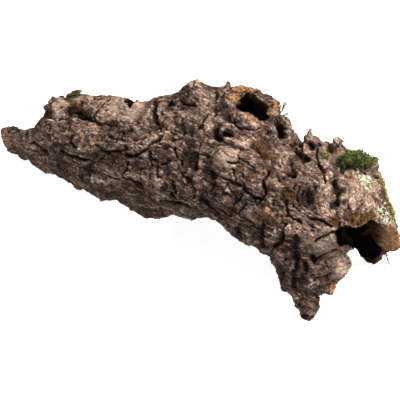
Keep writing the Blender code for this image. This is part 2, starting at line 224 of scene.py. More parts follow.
def joined(parts):
    verts, faces, base = [], [], 0
    for v, f in parts:
        verts.extend(tuple(x) for x in v)
        faces.extend(tuple(int(i) + base for i in t) for t in f)
        base += len(v)
    return verts, faces


# ---------------------------------------------------------------- outline of the slab
# Picture y of the slab's top and bottom edge at picture x, without the thin spikes, which are added one by one below.
OUTLINE = (
    (0, 131, 134), (6, 126, 148), (12, 126, 155), (18, 128, 156), (24, 129, 155), (30, 128, 158), (36, 128, 163),
    (42, 121, 168.5), (48, 99, 172), (54, 97, 175), (60, 97, 178), (66, 95, 181), (72, 91, 184), (78, 92, 187),
    (84, 94, 191.5), (90, 95, 194), (96, 96, 199), (102, 95, 201), (108, 97, 202), (114, 97, 199), (120, 98, 202),
    (126, 98, 208), (132, 99, 212), (138, 102.5, 215), (144, 101.5, 217), (150, 104, 219.5), (156, 96, 220),
    (162, 95, 219), (168, 95, 215), (174, 96, 215), (180, 91, 218), (186, 82, 218.5), (192, 80, 219.5),
    (198, 80.5, 219.5), (204, 82.5, 218), (210, 87, 218), (216, 87, 221), (222, 86, 226), (228, 85, 231),
    (234, 86, 236), (240, 85, 240), (246, 85, 242), (252, 88, 246), (258, 89, 250), (264, 95, 254),
    (270, 96, 259), (276, 98, 263), (282, 116, 290), (288, 122, 291), (294, 131, 301), (300, 141, 317),
    (306, 141, 318), (312, 141, 318), (318, 141, 303), (324, 142, 295), (330, 142, 295), (336, 143, 286),
    (342, 144, 279), (348, 150, 271), (354, 152, 251), (360, 153, 256), (366, 152, 261), (372, 154, 261),
    (378, 168, 259), (384, 180, 255), (390, 205, 251), (396, 221, 250),
)

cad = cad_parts["bark"]
cad_verts, cad_tris = read_mesh(cad.data), triangles_of(cad.data)


def outline_shift(verts, tris):
    """A function of picture x, y that gives how far a point moves down in the picture, so that the edge follows OUTLINE."""
    a, b, c = verts[tris[:, 0]], verts[tris[:, 1]], verts[tris[:, 2]]
    area = np.linalg.norm(np.cross(b - a, c - a), axis=1)
    pick = np.random.default_rng(5).choice(len(tris), 400000, p=area / area.sum())
    r = np.random.default_rng(6).random((400000, 2))
    r = np.where(r.sum(1, keepdims=True) > 1, 1 - r, r)
    flat = in_view(a[pick] + (b - a)[pick] * r[:, :1] + (c - a)[pick] * r[:, 1:])
    xs = np.arange(0, 400, 2.0)
    top, low = np.full(len(xs), np.nan), np.full(len(xs), np.nan)
    for k, x in enumerate(xs):
        y = flat[np.abs(flat[:, 0] - x) < 1.0, 1]
        if len(y) > 5:
            top[k], low[k] = y.min(), y.max()
    good = ~np.isnan(top)
    top, low = np.interp(xs, xs[good], top[good]), np.interp(xs, xs[good], low[good])
    table = np.array(OUTLINE, float)
    d_top = np.clip(np.interp(xs, table[:, 0], table[:, 1]) - top, -8, 8)
    d_low = np.clip(np.interp(xs, table[:, 0], table[:, 2]) - low, -8, 8)
    kernel = np.exp(-0.5 * (np.arange(-6, 7) / 1.6) ** 2)
    kernel /= kernel.sum()
    d_top = np.convolve(np.pad(d_top, 6, "edge"), kernel, "valid")
    d_low = np.convolve(np.pad(d_low, 6, "edge"), kernel, "valid")

    def shift(x, y):
        t0, t1 = np.interp(x, xs, top), np.interp(x, xs, low)
        t = np.clip((y - t0) / np.maximum(t1 - t0, 5.0), 0.0, 1.0)
        return (1 - t) * np.interp(x, xs, d_top) + t * np.interp(x, xs, d_low)

    left, right = flat[:, 0].min(), flat[:, 0].max()
    print("picture x of the slab", round(left, 1), round(right, 1), "edge moves", np.round(d_top[::10], 1), np.round(d_low[::10], 1))

    def shift_x(x):
        return (0.5 - left) * (1 - smoothstep(0, 90, x)) + (399.3 - right) * smoothstep(320, 400, x)

    return shift, shift_x


shift_at, shift_x_at = outline_shift(cad_verts, cad_tris)


def warped(points):
    flat = in_view(points)
    out = points + DOWN[None, :] * (shift_at(flat[:, 0], flat[:, 1]) * 0.001)[:, None] + RIGHT[None, :] * (shift_x_at(flat[:, 0]) * 0.001)[:, None]
    settle = smoothstep(0.0, 0.008, points[:, 2])
    out = points * (1 - settle[:, None]) + out * settle[:, None]
    out[:, 2] = np.maximum(out[:, 2], 0.0)
    return out


base_verts = warped(cad_verts)
base_tree = BVHTree.FromPolygons([Vector(v) for v in base_verts], [tuple(int(i) for i in t) for t in cad_tris])


def on_skin(x, y):
    """The point of the slab under a place in the picture, in metres."""
    eye = TARGET + TOWARDS * CAMERA_AWAY
    way = TARGET + (RIGHT * (x - 200) + DOWN * (y - 200)) * 0.001 - eye
    hit = base_tree.ray_cast(Vector(eye), Vector(way).normalized())
    return None if hit[0] is None else np.array(hit[0])


# Knobs, spikes and fins: picture place of the root, picture place of the tip, radius at the root and tip in millimetres, lean towards the viewer.
KNOBS = (
    ((190, 90), (190, 82), 3.0, 1.3, 0), ((188, 91), (186.5, 86), 3.0, 1.5, 0), ((229, 89), (228, 82), 3.0, 1.9, 0), ((272, 112), (277, 103), 5.0, 3.2, 0),
    ((290, 143), (287, 121), 5.0, 2.4, 0), ((294, 146), (292, 130), 4.2, 1.6, 0), ((297, 148), (296, 139), 3.5, 1.8, 0),
    ((274.5, 139), (274, 128), 3.4, 1.6, 2), ((307, 146), (310, 132.5), 5.5, 2.9, 0), ((305.5, 145), (305, 138), 3.4, 2.3, 0),
    ((321, 148), (321, 143), 3.4, 2.4, 0), ((327, 148), (327, 142), 3.8, 2.4, 0), ((338, 153), (338, 140.5), 6.0, 4.2, 1),
    ((334, 152), (334, 145), 3.5, 2.2, 3), ((365, 160), (364, 154), 5.0, 2.6, 0), ((371, 162), (370, 157), 4.5, 2.8, 0),
    ((374, 164), (374, 159), 4.0, 2.8, 1), ((297, 262), (290, 275), 9.0, 9.0, -2), ((297, 272), (286.5, 286), 8.5, 9.2, -2),
    ((322, 276), (329.5, 290.5), 8.0, 7.6, -2), ((308, 296), (307, 307), 9.5, 9.0, -1), ((300, 292), (297, 297), 6.0, 5.0, 0),
    ((336, 264), (338, 271), 8.0, 7.5, -2), ((54, 112), (52, 106), 6.0, 4.5, 0), ((62, 104), (58, 101), 6.0, 4.5, 0),
)


def knob_meshes():
    out = []
    for root, tip, r0, r1, lean in KNOBS:
        p = on_skin(*root)
        if p is None:
            continue
        q = p + (RIGHT * (tip[0] - root[0]) + DOWN * (tip[1] - root[1]) + TOWARDS * lean) * 0.001
        p = p - TOWARDS * r0 * 0.0008
        q = q - TOWARDS * r0 * 0.0008
        path = [p - (q - p) * 0.35 + (q - p) * 1.35 * t for t in np.linspace(0, 1, 5)]
        radii = [0.001 * (r0 + (r1 - r0) * t) for t in np.linspace(0, 1, 5)]
        out.append(tube(path, radii, 8))
    return out


# ---------------------------------------------------------------- the bark's relief, in picture millimetres on the side that the reference view sees
# Cracks and ledges: half width, depth, points.
CRACKS = (
    (0.9, 1.0, ((104, 141), (116, 144), (128, 146), (140, 144), (152, 138), (160, 131))), (0.9, 0.8, ((108, 137), (120, 139), (132, 140), (146, 136), (157, 128))),
    (0.9, 1.4, ((24, 148), (40, 153), (60, 161), (80, 167), (100, 173), (120, 179))), (0.9, 1.0, ((30, 156), (50, 165), (70, 175), (90, 183), (112, 190))),
    (0.9, 1.4, ((214, 200), (230, 208), (246, 218), (258, 228))), (0.9, 1.2, ((205, 180), (222, 190), (240, 201))),
    (0.9, 1.4, ((190, 208), (210, 214), (230, 226), (246, 235))), (0.9, 1.2, ((346, 180), (348, 192), (346, 204), (348, 214))), (0.9, 1.0, ((320, 182), (321, 194), (319, 206), (322, 214))),
    (1.0, 2.2, ((228, 112), (231, 120), (237, 126), (246, 129.5), (256, 130), (264, 127))), (0.9, 1.6, ((233, 108), (236, 114), (242, 119))),
    (1.3, 3, ((31, 143), (34, 142.5), (38, 145), (42, 148), (46, 152), (47.5, 155))),
    (0.8, 1.5, ((36, 139), (41, 140.5))), (0.7, 1.5, ((20.5, 136), (20.3, 141))), (0.7, 1.2, ((17, 130), (20.5, 135))),
    (0.8, 1.5, ((54, 142), (55, 145), (54, 147))), (0.8, 1.8, ((49, 123), (48, 127), (48.5, 131))),
    (0.8, 1.5, ((40, 131), (44, 133), (48, 134), (52, 133))), (2.0, 1.8, ((57, 165), (59.5, 171))),
    (0.8, 1.5, ((67.5, 165), (67.5, 168))), (0.8, 1.5, ((67, 171), (67.5, 175))), (1.0, 2.2, ((79.5, 168), (80, 173), (81.5, 181))),
    (1.5, 3.5, ((86.5, 166), (86.7, 166.5))), (0.8, 1.5, ((92, 162), (91, 165), (90, 168))),
    (1.5, 3.0, ((60, 151), (70, 155), (80, 159), (88, 160))), (0.8, 1.5, ((70, 125), (69, 130))),
    (1.2, 2, ((70, 135), (70, 142), (74, 146), (77, 148))), (0.7, 1.2, ((42, 161), (45, 163))), (0.7, 1.2, ((50, 170), (53, 170))),
    (1.2, 2.8, ((48, 117), (52, 118), (57, 120), (60, 118), (68, 118))), (1.0, 2, ((61, 107), (61.4, 107.4))),
    (2.6, 4, ((80, 103), (77, 110), (79, 114), (82, 117), (90, 119))),
    (1.1, 2.4, ((80, 117), (85, 119.5), (90, 120), (95, 122), (99, 124), (110, 125.5), (120, 124), (121, 121))),
    (1.0, 2.4, ((109, 99.5), (105, 102), (101, 107), (98, 112), (95, 117), (95, 120))),
    (0.7, 1.4, ((92, 138), (97, 136), (103, 132))), (0.7, 1.4, ((110, 131.5), (122, 131), (134, 130.5))),
    (0.7, 1.4, ((100, 136), (101, 140), (103, 143))), (0.6, 1.2, ((109.5, 128), (109.5, 131))), (0.6, 1.2, ((121.5, 132), (121.5, 141))),
    (0.6, 1.2, ((124.5, 131), (124.5, 141))), (0.6, 1.2, ((116.5, 138), (116.5, 142))),
    (1.3, 2.8, ((95, 144), (100, 147), (103, 150), (108, 153))), (1.3, 2.8, ((109, 151), (115, 151.5), (122, 151), (127, 149), (125, 146))),
    (1.6, 3.4, ((126, 155), (130, 156.5), (135, 156), (140, 153), (145, 150), (150, 146.5), (155, 143), (160, 139), (163, 136))),
    (0.8, 1.5, ((87, 149), (87.5, 153))), (0.8, 1.5, ((100, 160), (102, 158), (104, 157))),
    (2.2, 4, ((127, 101), (132, 101.5), (129.5, 105))), (2.3, 4.2, ((156, 104), (153, 112), (155, 117), (156, 120), (157, 122))),
    (1.0, 2.5, ((158, 123), (160, 128), (161, 131))), (1.5, 3, ((169, 104), (172, 103), (175, 105))),
    (1.5, 4, ((181, 102), (185, 104), (190, 105.5), (194, 104.5))), (0.9, 2, ((184.5, 120), (182, 124), (179, 126), (176, 128))),
    (0.8, 1.5, ((174, 130), (177, 132))), (1.0, 2.6, ((186, 132), (184, 135), (182, 138), (178, 140), (173, 141))),
    (0.8, 1.5, ((142, 136), (143, 138))), (0.8, 1.5, ((149, 134), (151, 133))), (1.0, 2.5, ((135, 121), (139, 124))),
    (0.8, 1.5, ((121, 121), (120, 124))), (1.8, 3.6, ((150, 151), (150, 156), (152, 159), (156, 160))),
    (1.0, 3, ((157, 162), (157.5, 168), (158, 174), (158.5, 179))), (1.2, 3, ((128, 162), (127, 167), (126, 170), (123, 174), (123, 179))),
    (0.8, 1.5, ((135, 164), (137, 162))), (0.9, 2, ((170, 161), (165, 164), (161, 165))), (0.8, 1.5, ((140, 170), (145, 169), (156, 169))),
    (0.8, 1.8, ((142, 171), (141, 177), (140, 180))), (0.8, 1.8, ((150, 174), (151, 179), (150, 185))), (0.8, 1.8, ((154, 183), (153, 190))),
    (1.6, 3.5, ((173, 181), (174, 186), (176, 192))), (1.2, 2.5, ((171, 192), (173, 196), (175, 198))), (0.8, 1.8, ((166, 183), (166, 188))),
    (0.8, 1.4, ((111, 193), (119, 196))), (0.8, 1.4, ((121, 192), (126, 194), (131, 195))),
    (1.3, 2.6, ((160, 201), (170, 202), (178, 202), (186, 204), (189, 206))), (0.9, 1.8, ((151, 202), (153, 208))),
    (0.9, 1.8, ((160, 207), (163, 212), (161, 216))), (0.8, 1.5, ((136, 191), (138, 194))), (0.9, 1.6, ((129, 181), (138, 184))),
    (1.3, 3.6, ((207, 114), (205, 117), (203, 121), (201, 125), (198.5, 128.5))), (1.2, 3, ((219, 111), (216, 113), (215, 117))),
    (0.8, 1.5, ((216, 94), (217, 98))), (0.8, 1.8, ((209, 102), (207, 106))), (0.8, 1.8, ((219, 107), (215, 110))),
    (4, 4.2, ((216, 128), (215, 134), (219, 138))), (3, 4, ((224, 133), (230, 134))),
    (1.0, 2.4, ((236.5, 113), (236, 118), (235, 122), (236, 124), (239, 127), (242, 130))), (0.8, 1.5, ((231, 126), (233, 129))),
    (0.8, 1.5, ((226, 104), (226.5, 108))), (0.9, 1.6, ((223, 118), (232, 121))), (1.1, 3, ((221, 151), (217, 153), (214, 156))),
    (0.8, 1.5, ((237, 136), (237.5, 140))), (1.0, 2, ((197, 152), (198, 158), (197, 160))), (0.8, 1.5, ((190, 109), (200, 112))),
    (1.2, 3, ((175, 149), (177, 157))), (1.0, 2.5, ((180, 160), (182, 164))), (3, 5, ((196, 154), (196, 160), (196, 167))),
    (0.8, 1.8, ((200, 143), (199, 150))), (0.8, 1.6, ((201, 168), (204, 171))), (1.3, 3, ((229, 163), (234, 164), (239, 162))),
    (0.8, 1.8, ((214, 156), (211, 161), (210, 166))), (0.8, 1.8, ((238, 155), (240, 159))),
    (1.3, 2.8, ((211, 171), (216, 174), (222, 177), (228, 180), (236, 184), (240, 187))), (2.6, 3.6, ((212, 172), (214, 177))),
    (0.9, 1.8, ((234, 170), (234.5, 175), (236, 180))), (0.8, 1.8, ((242, 173), (242, 178))),
    (1.6, 3.6, ((187, 178), (191, 183), (194, 191), (195, 197))), (0.8, 1.8, ((183, 181), (184, 185))), (0.8, 1.8, ((193, 175), (191, 178))),
    (1.1, 3, ((215, 182), (213, 187), (212, 191))), (0.8, 1.5, ((212, 198), (216, 194))), (0.8, 1.8, ((202, 191), (202, 196), (200, 199))),
    (1.6, 2.6, ((202, 199), (208, 203), (213, 208), (217, 213), (220, 220))), (1.3, 3, ((196, 207), (197, 211), (199, 214), (205, 216))),
    (0.8, 1.5, ((230, 180), (227, 185), (223, 192))), (1.2, 3, ((242, 194), (239, 199), (236, 203), (233, 207), (231, 211), (231, 214))),
    (1.3, 2.8, ((245, 203), (243, 208), (240, 212))), (0.8, 1.5, ((220, 209), (226, 213))), (2.0, 3.2, ((236, 228), (238, 233), (240, 238))),
    (0.9, 2, ((232, 91.5), (241, 92.3), (246, 91.5), (257, 92))), (1.5, 3, ((229.5, 90), (229.6, 92))),
    (3.0, 4.5, ((277, 122), (280, 128), (282, 136))), (1.0, 3, ((268, 126), (268.5, 131), (269, 137))),
    (0.8, 1.5, ((252, 132), (253, 135), (255, 138))), (1.0, 2, ((270, 157), (272, 163), (275, 169))), (1.2, 1.6, ((283, 150), (290, 150))),
    (0.8, 2.0, ((300, 187), (297, 193), (297, 200), (301, 206))), (0.8, 2.0, ((304, 190), (301, 196), (302, 202), (306, 206))), (0.8, 2.0, ((309, 189), (307, 196), (308, 203))),
    (0.9, 2.4, ((296, 182), (293, 190), (292, 198), (294, 206), (299, 211))), (3.0, 3.8, ((296, 150), (299, 153), (303, 158), (306, 161))), (2.0, 2.6, ((290, 158), (293, 170))),
    (0.9, 1.8, ((242, 160), (247, 161.5), (251, 165), (254, 169), (255, 172))),
    (1.9, 3.8, ((268, 173), (266, 176), (263, 181), (264, 186), (265, 190), (266, 193))),
    (1.2, 2.6, ((265, 196), (262, 199), (258, 203), (256, 206))), (1.5, 2.8, ((243, 186), (245, 191), (250, 194), (255, 197), (260, 199))),
    (0.8, 1.8, ((254, 196), (255, 205))), (0.8, 1.8, ((277, 173), (278, 178), (279, 182))), (1.3, 2.8, ((286, 200), (287, 210), (289, 216))),
    (3.0, 5, ((289, 173), (294, 174))), (1.3, 2.6, ((285, 215), (295, 219), (300, 222))), (1.2, 3.5, ((286.5, 223), (284, 228), (283, 232))),
    (2.3, 4.2, ((283, 232), (283, 238), (280, 242), (276, 246))), (1.2, 3, ((276, 246), (274, 248), (272, 252))),
    (2.4, 3.2, ((262, 225), (262, 232), (262, 240), (263, 246))), (0.9, 1.8, ((240, 224), (240.5, 230))), (1.0, 2, ((268, 246), (268.5, 248))),
    (1.0, 2, ((255, 231), (256, 233))), (1.1, 2.2, ((286, 258), (287, 260))), (1.3, 2.5, ((284, 272), (283, 274))),
    (3.6, 2.6, ((296, 240), (295, 252), (297, 262), (298, 268))), (3.5, 3, ((294, 272), (296, 279), (294, 287))),
    (1.0, 1.8, ((307, 234), (307.5, 237))), (0.8, 1.6, ((311, 230), (313, 230.5))), (0.8, 1.6, ((317, 230.5), (319, 230))),
    (1.1, 2.4, ((334, 232), (328, 234), (322, 237), (317, 240), (313, 242))),
    (1.1, 2.6, ((336, 250), (330, 251.5), (325, 254), (321, 257), (316, 260), (312, 259))), (2.6, 5, ((311, 257), (313, 260), (314, 261))),
    (0.8, 1.5, ((318, 263), (324, 264))), (0.9, 1.8, ((326, 263), (329, 268))), (0.8, 1.7, ((331, 275), (325, 277), (320, 278), (314, 279))),
    (1.8, 2.6, ((305, 262), (306, 266), (306, 271))), (0.8, 1.6, ((331, 283), (326, 286), (322, 287))), (1.3, 2, ((303, 315), (308, 315.5))),
    (0.9, 1.6, ((306, 293), (307, 296))), (0.9, 1.6, ((319, 287), (323, 289))),
    (1.3, 2.8, ((317, 148), (316.5, 155), (317, 160), (321, 168), (324, 173))), (3, 4, ((303, 157), (307, 160))), (3.0, 3.0, ((309, 142), (312, 147))),
    (1.0, 2, ((302, 148), (303, 152))), (1.2, 2.6, ((323, 170.5), (326, 169.5), (328, 168))), (1.2, 2.6, ((341, 169), (344, 172))),
    (1.0, 2.3, ((324, 177), (325, 180), (326, 185))), (1.3, 3, ((333, 178), (334, 181))), (3.4, 6.0, ((334, 180), (335, 185), (338, 191))),
    (1.9, 4.2, ((339.5, 190), (338.5, 196), (337, 200))), (3.6, 5.5, ((332, 206), (335, 204), (339, 202))), (2, 4, ((340, 204), (337, 209))),
    (0.8, 1.8, ((355, 190), (356, 192))), (0.8, 1.8, ((362, 193), (364, 196))), (0.8, 2, ((324, 191), (323, 194), (324.5, 197))),
    (1.8, 4, ((365, 172), (366, 175))), (1.5, 3.5, ((369, 182), (370, 184))), (0.8, 1.8, ((354, 168), (356, 171))), (1.2, 3, ((341, 144), (342, 146))),
    (1.0, 2.5, ((374, 176), (377, 178))), (1.0, 2, ((380, 207), (383, 209))), (1.0, 2, ((371, 210), (371, 213))),
    (1.3, 3, ((310, 218), (316, 219), (322, 221), (328, 224), (331, 227))), (1.6, 3.6, ((337, 211), (338, 217), (339, 224))),
    (0.8, 1.6, ((272.5, 200), (275, 199.5), (278, 201), (278.5, 204), (276, 206.5), (273, 205.5), (272, 203))),
)

# Swellings and hollows: x, y, radius across, radius down, rise in millimetres (less than 0 sinks).
SWELLS = (
    (246, 125, 14, 4, 2.0), (236, 118, 5, 6, 1.4), (194, 84, 8, 4, 1.8), (287, 130, 5, 10, 1.5), (362, 188, 14, 12, 1.2),
    (112, 146, 16, 5, 2.2), (148, 140, 12, 6, 2.6), (74, 151, 14, 4, 1.8), (118, 122, 22, 3, 1.6), (95, 134, 14, 5, 1.4),
    (322, 196, 8, 20, 3.0), (348, 196, 9, 18, 2.2), (226, 158, 13, 12, 4.0), (341, 269, 9, 14, 2.5), (153, 183, 11, 11, 2.6),
    (60, 108, 8, 9, 1.4), (43, 111, 8, 11, -3.2), (266, 210, 3.6, 6, 2.2), (341, 217, 5, 7, 1.5), (292, 229, 9, 6, 2.6), (328, 228, 8, 4, 1.8),
    (326, 243, 11, 6, 1.4), (324, 153, 6, 7, 2.0), (305, 196, 9, 13, -2.6), (186, 157, 12, 10, -3.0), (252, 92, 14, 2, 0.8),
    (100, 111, 12, 10, 0.8), (72, 107, 5, 8, -2.0), (262, 186, 5, 4, 1.6), (135, 147, 14, 5, 1.8), (197, 95, 10, 9, 2.0),
    (184, 117, 10, 8, 2.0), (168, 122, 8, 7, 1.6), (212, 142, 14, 3, 1.2), (116, 172, 16, 9, 1.6), (92, 180, 12, 8, 1.4),
    (176, 172, 8, 6, 1.6), (207, 184, 8, 6, 1.6), (228, 200, 9, 7, 2.0), (252, 214, 8, 7, 2.0), (250, 236, 8, 8, 1.4),
    (272, 236, 6, 9, 1.4), (284, 262, 7, 14, 1.0), (310, 284, 7, 9, 1.0), (366, 206, 9, 10, 1.2), (350, 175, 8, 6, 1.2),
    (145, 120, 8, 6, 1.5), (280, 160, 7, 6, 1.8), (302, 172, 8, 5, 1.6), (275, 184, 6, 6, 1.8), (240, 145, 8, 6, 1.4),
)

# Places with less roughness of their own: x, y, radius across, radius down, amount.
CALM = (
    (110, 111, 12, 11, 0.7), (340, 268, 10, 14, 0.75), (60, 160, 30, 14, 0.45), (100, 170, 26, 14, 0.35), (326, 244, 12, 8, 0.5),
    (342, 217, 6, 8, 0.7), (58, 108, 8, 9, 0.4), (305, 196, 8, 12, 0.35), (226, 158, 9, 8, 0.35), (130, 146, 18, 5, 0.5),
)

# Worn, stained, pale and dark places: kind, x, y, radius across, radius down, amount. The dark patches are painted
# shade in hollows and on the shaded lower side.
# The pale patches are partly the bark's paler weathered skin and partly painted highlight on the lit tops.
PATCHES = (
    ("tan", 3.5, 132, 6, 6, 1.0), ("tan", 7.5, 142, 4, 7, 1.0), ("pale", 340, 160, 22, 12, 0.45), ("pale", 150, 128, 50, 17, 0.35), ("pale", 215, 108, 24, 18, 0.45), ("pale", 362, 186, 14, 15, 0.8), ("pale", 225, 120, 26, 20, 0.25), ("pale", 320, 240, 22, 16, 0.7), ("pale", 226, 157, 16, 13, 0.9), ("pale", 200, 108, 22, 14, 0.35), ("pale", 150, 112, 20, 8, 0.3), ("dark", 304, 300, 12, 16, 0.3), ("dark", 284, 262, 8, 14, 0.3), ("dark", 110, 192, 40, 8, 0.3), ("pale", 193, 84, 8, 5, 0.8), ("pale", 246, 126, 14, 4, 0.5), ("pale", 352, 178, 14, 8, 0.4), ("pale", 105, 145, 30, 10, 0.25), ("tan", 13.5, 153, 4, 2.5, 0.8), ("tan", 22, 132, 2.5, 2, 0.6),
    ("pale", 30, 140, 24, 12, 0.5), ("pale", 72, 99, 11, 7, 1.0), ("pale", 322, 285, 10, 14, 0.4), ("pale", 88, 102, 16, 7, 0.9), ("pale", 116, 100, 12, 5, 0.7), ("pale", 146, 104, 12, 6, 0.5), ("pale", 322, 150, 20, 11, 0.45), ("pale", 338, 262, 12, 24, 0.6), ("pale", 318, 262, 12, 14, 0.35), ("tan", 58, 108, 8, 9, 0.35), ("raw", 81, 138, 4, 4, 0.6), ("tan", 153, 183, 11, 10, 0.4), ("raw", 246, 89, 14, 3.2, 1.0),
    ("raw", 234, 98, 7, 5, 0.95), ("raw", 260, 119, 5, 4, 0.8), ("raw", 249, 118, 7, 2.5, 0.7), ("raw", 275, 106, 3, 6, 0.9), ("raw", 270, 113, 4, 3, 0.6),
    ("raw", 266, 210.5, 3.6, 5.4, 1.0), ("raw", 249, 166, 4, 5, 0.35), ("tan", 258, 178, 2, 1.5, 0.7), ("tan", 203, 145, 2.5, 3, 0.4),
    ("raw", 350, 178, 8, 6, 0.4), ("tan", 366, 200, 5, 8, 0.45), ("tan", 375, 186, 4, 4, 0.7), ("raw", 340, 151, 5, 4, 0.5),
    ("raw", 396, 241, 4, 8, 0.9), ("raw", 343, 250, 4, 3, 0.8), ("tan", 367, 260, 6, 2.5, 0.9), ("raw", 333, 289, 2.6, 6, 0.8),
    ("raw", 312, 305, 3, 4, 0.7), ("tan", 311, 313, 3.5, 4, 0.6), ("raw", 318, 195, 3, 9, 0.4), ("tan", 317, 272, 4, 7, 0.45),
    ("tan", 370, 223, 6, 3, 0.8), ("tan", 379, 230, 7, 3, 0.8), ("tan", 386, 238, 5, 3, 0.8), ("pale", 380, 238, 8, 6, 0.4), ("raw", 336, 291, 2, 4, 0.6), ("tan", 98, 127, 8, 1.5, 0.5),
    ("pale", 324, 198, 9, 18, 0.5), ("pale", 340, 268, 9, 14, 0.75), ("pale", 326, 242, 11, 8, 0.6), ("pale", 292, 228, 10, 7, 0.5),
    ("pale", 330, 228, 8, 4, 1.0), ("pale", 226, 157, 12, 10, 0.9), ("pale", 350, 198, 11, 14, 0.5), ("pale", 275, 99, 2.5, 1.5, 0.9),
    ("pale", 274, 130, 3, 5, 0.8), ("pale", 290, 132, 3, 9, 0.7), ("pale", 305, 149, 2.5, 6, 0.7), ("pale", 258, 187, 3, 3, 0.8),
    ("pale", 267, 184, 2, 3, 0.7), ("pale", 275, 203, 3, 3, 0.5), ("pale", 309, 136, 4, 6, 0.5), ("pale", 130, 111, 26, 12, 1.0), ("dark", 284, 275, 12, 22, 0.9), ("dark", 308, 302, 10, 12, 0.3), ("dark", 253, 206, 10, 13, 0.35),
    ("pale", 338, 141, 4, 3, 1.0), ("pale", 373, 224, 8, 3, 1.0), ("pale", 324, 160, 8, 6, 0.7), ("pale", 190, 84, 2, 3, 1.0),
    ("pale", 60, 107, 10, 10, 1.0), ("pale", 325, 238, 16, 10, 0.35), ("pale", 95, 108, 12, 8, 0.4), ("pale", 172, 118, 14, 10, 0.35), ("pale", 350, 165, 9, 5, 0.5), ("pale", 378, 208, 6, 10, 0.2),
    ("pale", 199, 92, 10, 8, 0.4), ("pale", 305, 166, 10, 5, 0.45), ("pale", 252, 130, 10, 2, 0.6), ("pale", 301, 179, 10, 3, 0.5),
    ("stain", 82, 112, 8, 8, 0.7), ("stain", 70, 112, 3, 4, 0.6), ("stain", 261, 147, 10, 8, 0.65), ("stain", 268, 158, 5, 3, 0.55),
    ("stain", 287, 195, 5, 8, 0.65), ("stain", 268, 221, 8, 4, 0.75), ("stain", 334, 221, 5, 6, 0.9), ("stain", 355, 222, 8, 5, 0.85),
    ("stain", 370, 217, 5, 4, 0.8), ("stain", 328, 225, 4, 3, 0.7), ("stain", 332, 150, 6, 4, 0.7), ("stain", 315, 219, 6, 2.5, 0.6),
    ("stain", 300, 219, 8, 2.5, 0.45), ("stain", 386, 210, 5, 30, 0.5), ("stain", 307, 252, 4, 8, 0.4), ("stain", 288, 259, 4, 4, 0.4),
    ("dark", 305, 196, 10, 13, 0.45), ("dark", 216, 133, 8, 7, 0.55), ("dark", 296, 256, 7, 22, 0.5), ("dark", 280, 130, 5, 9, 0.8),
    ("dark", 305, 158, 5, 5, 0.6), ("dark", 310, 146, 5, 5, 0.55), ("dark", 282, 238, 4, 8, 0.85), ("dark", 262, 235, 4, 11, 0.6),
    ("dark", 186, 156, 10, 10, 0.45), ("dark", 298, 220, 3, 3, 0.5), ("dark", 218, 166, 3, 2, 0.5), ("dark", 70, 160, 40, 16, 0.12),
    ("dark", 150, 200, 60, 16, 0.30), ("dark", 225, 222, 40, 18, 0.22), ("dark", 335, 205, 5.5, 5, 0.85), ("dark", 335.5, 186, 3.6, 8, 0.85),
    ("dark", 318, 144, 3, 4, 0.5), ("dark", 293, 173, 5, 3, 0.6), ("dark", 247, 200, 14, 12, 0.25), ("dark", 290, 280, 12, 16, 0.3),
)


# Shapes with an outline: kind, amount, softness, corners. The black shapes are painted shade inside the mouth, the
# collar hole and the small hole at the top.
SHAPES = (
    ("black", 1.0, 1.2, ((335, 232), (339, 227), (346, 225), (352, 226), (356, 228), (361, 228), (364, 223), (370, 226), (367, 229), (362, 233), (371, 235), (376, 241), (381, 246), (383, 250), (379, 257), (373, 259), (365, 257), (356, 252), (351, 246), (345, 245), (338, 246))),
    ("black", 1.0, 1.0, ((240, 97), (246, 95), (252, 99), (254, 106), (256, 112), (252, 116), (245, 113), (241, 107))),
    ("black", 0.32, 1.5, ((252, 97), (262, 99), (269, 105), (268, 112), (262, 115), (255, 114))),
    ("black", 0.9, 1.0, ((124, 100), (134, 99.5), (135, 102), (129, 105))),
)


def polyline_distance(p, line):
    best = np.full(len(p), 1e9)
    for a, b in zip(line[:-1], line[1:]):
        a, b = np.array(a, float), np.array(b, float)
        t = np.clip(((p - a) @ (b - a)) / max(((b - a) ** 2).sum(), 1e-9), 0, 1)
        best = np.minimum(best, np.linalg.norm(p - (a + t[:, None] * (b - a)), axis=1))
    return best


# Openings cut through the near side: the outline and the depth in millimetres from the skin.
CUTS = (
    (((334.5, 233), (338, 228.5), (345, 226), (354, 227), (357, 238), (352, 246), (345, 246.5), (338, 246)), 26),
    (((349.5, 249.5), (346, 253.5), (347.5, 256), (350.5, 260), (351, 266), (353, 268), (357, 267), (356.5, 249.5)), 60),
    (((34, 100), (48, 98), (48.6, 108), (47.5, 114), (44.5, 119), (38.5, 122), (34, 121)), 70),
)


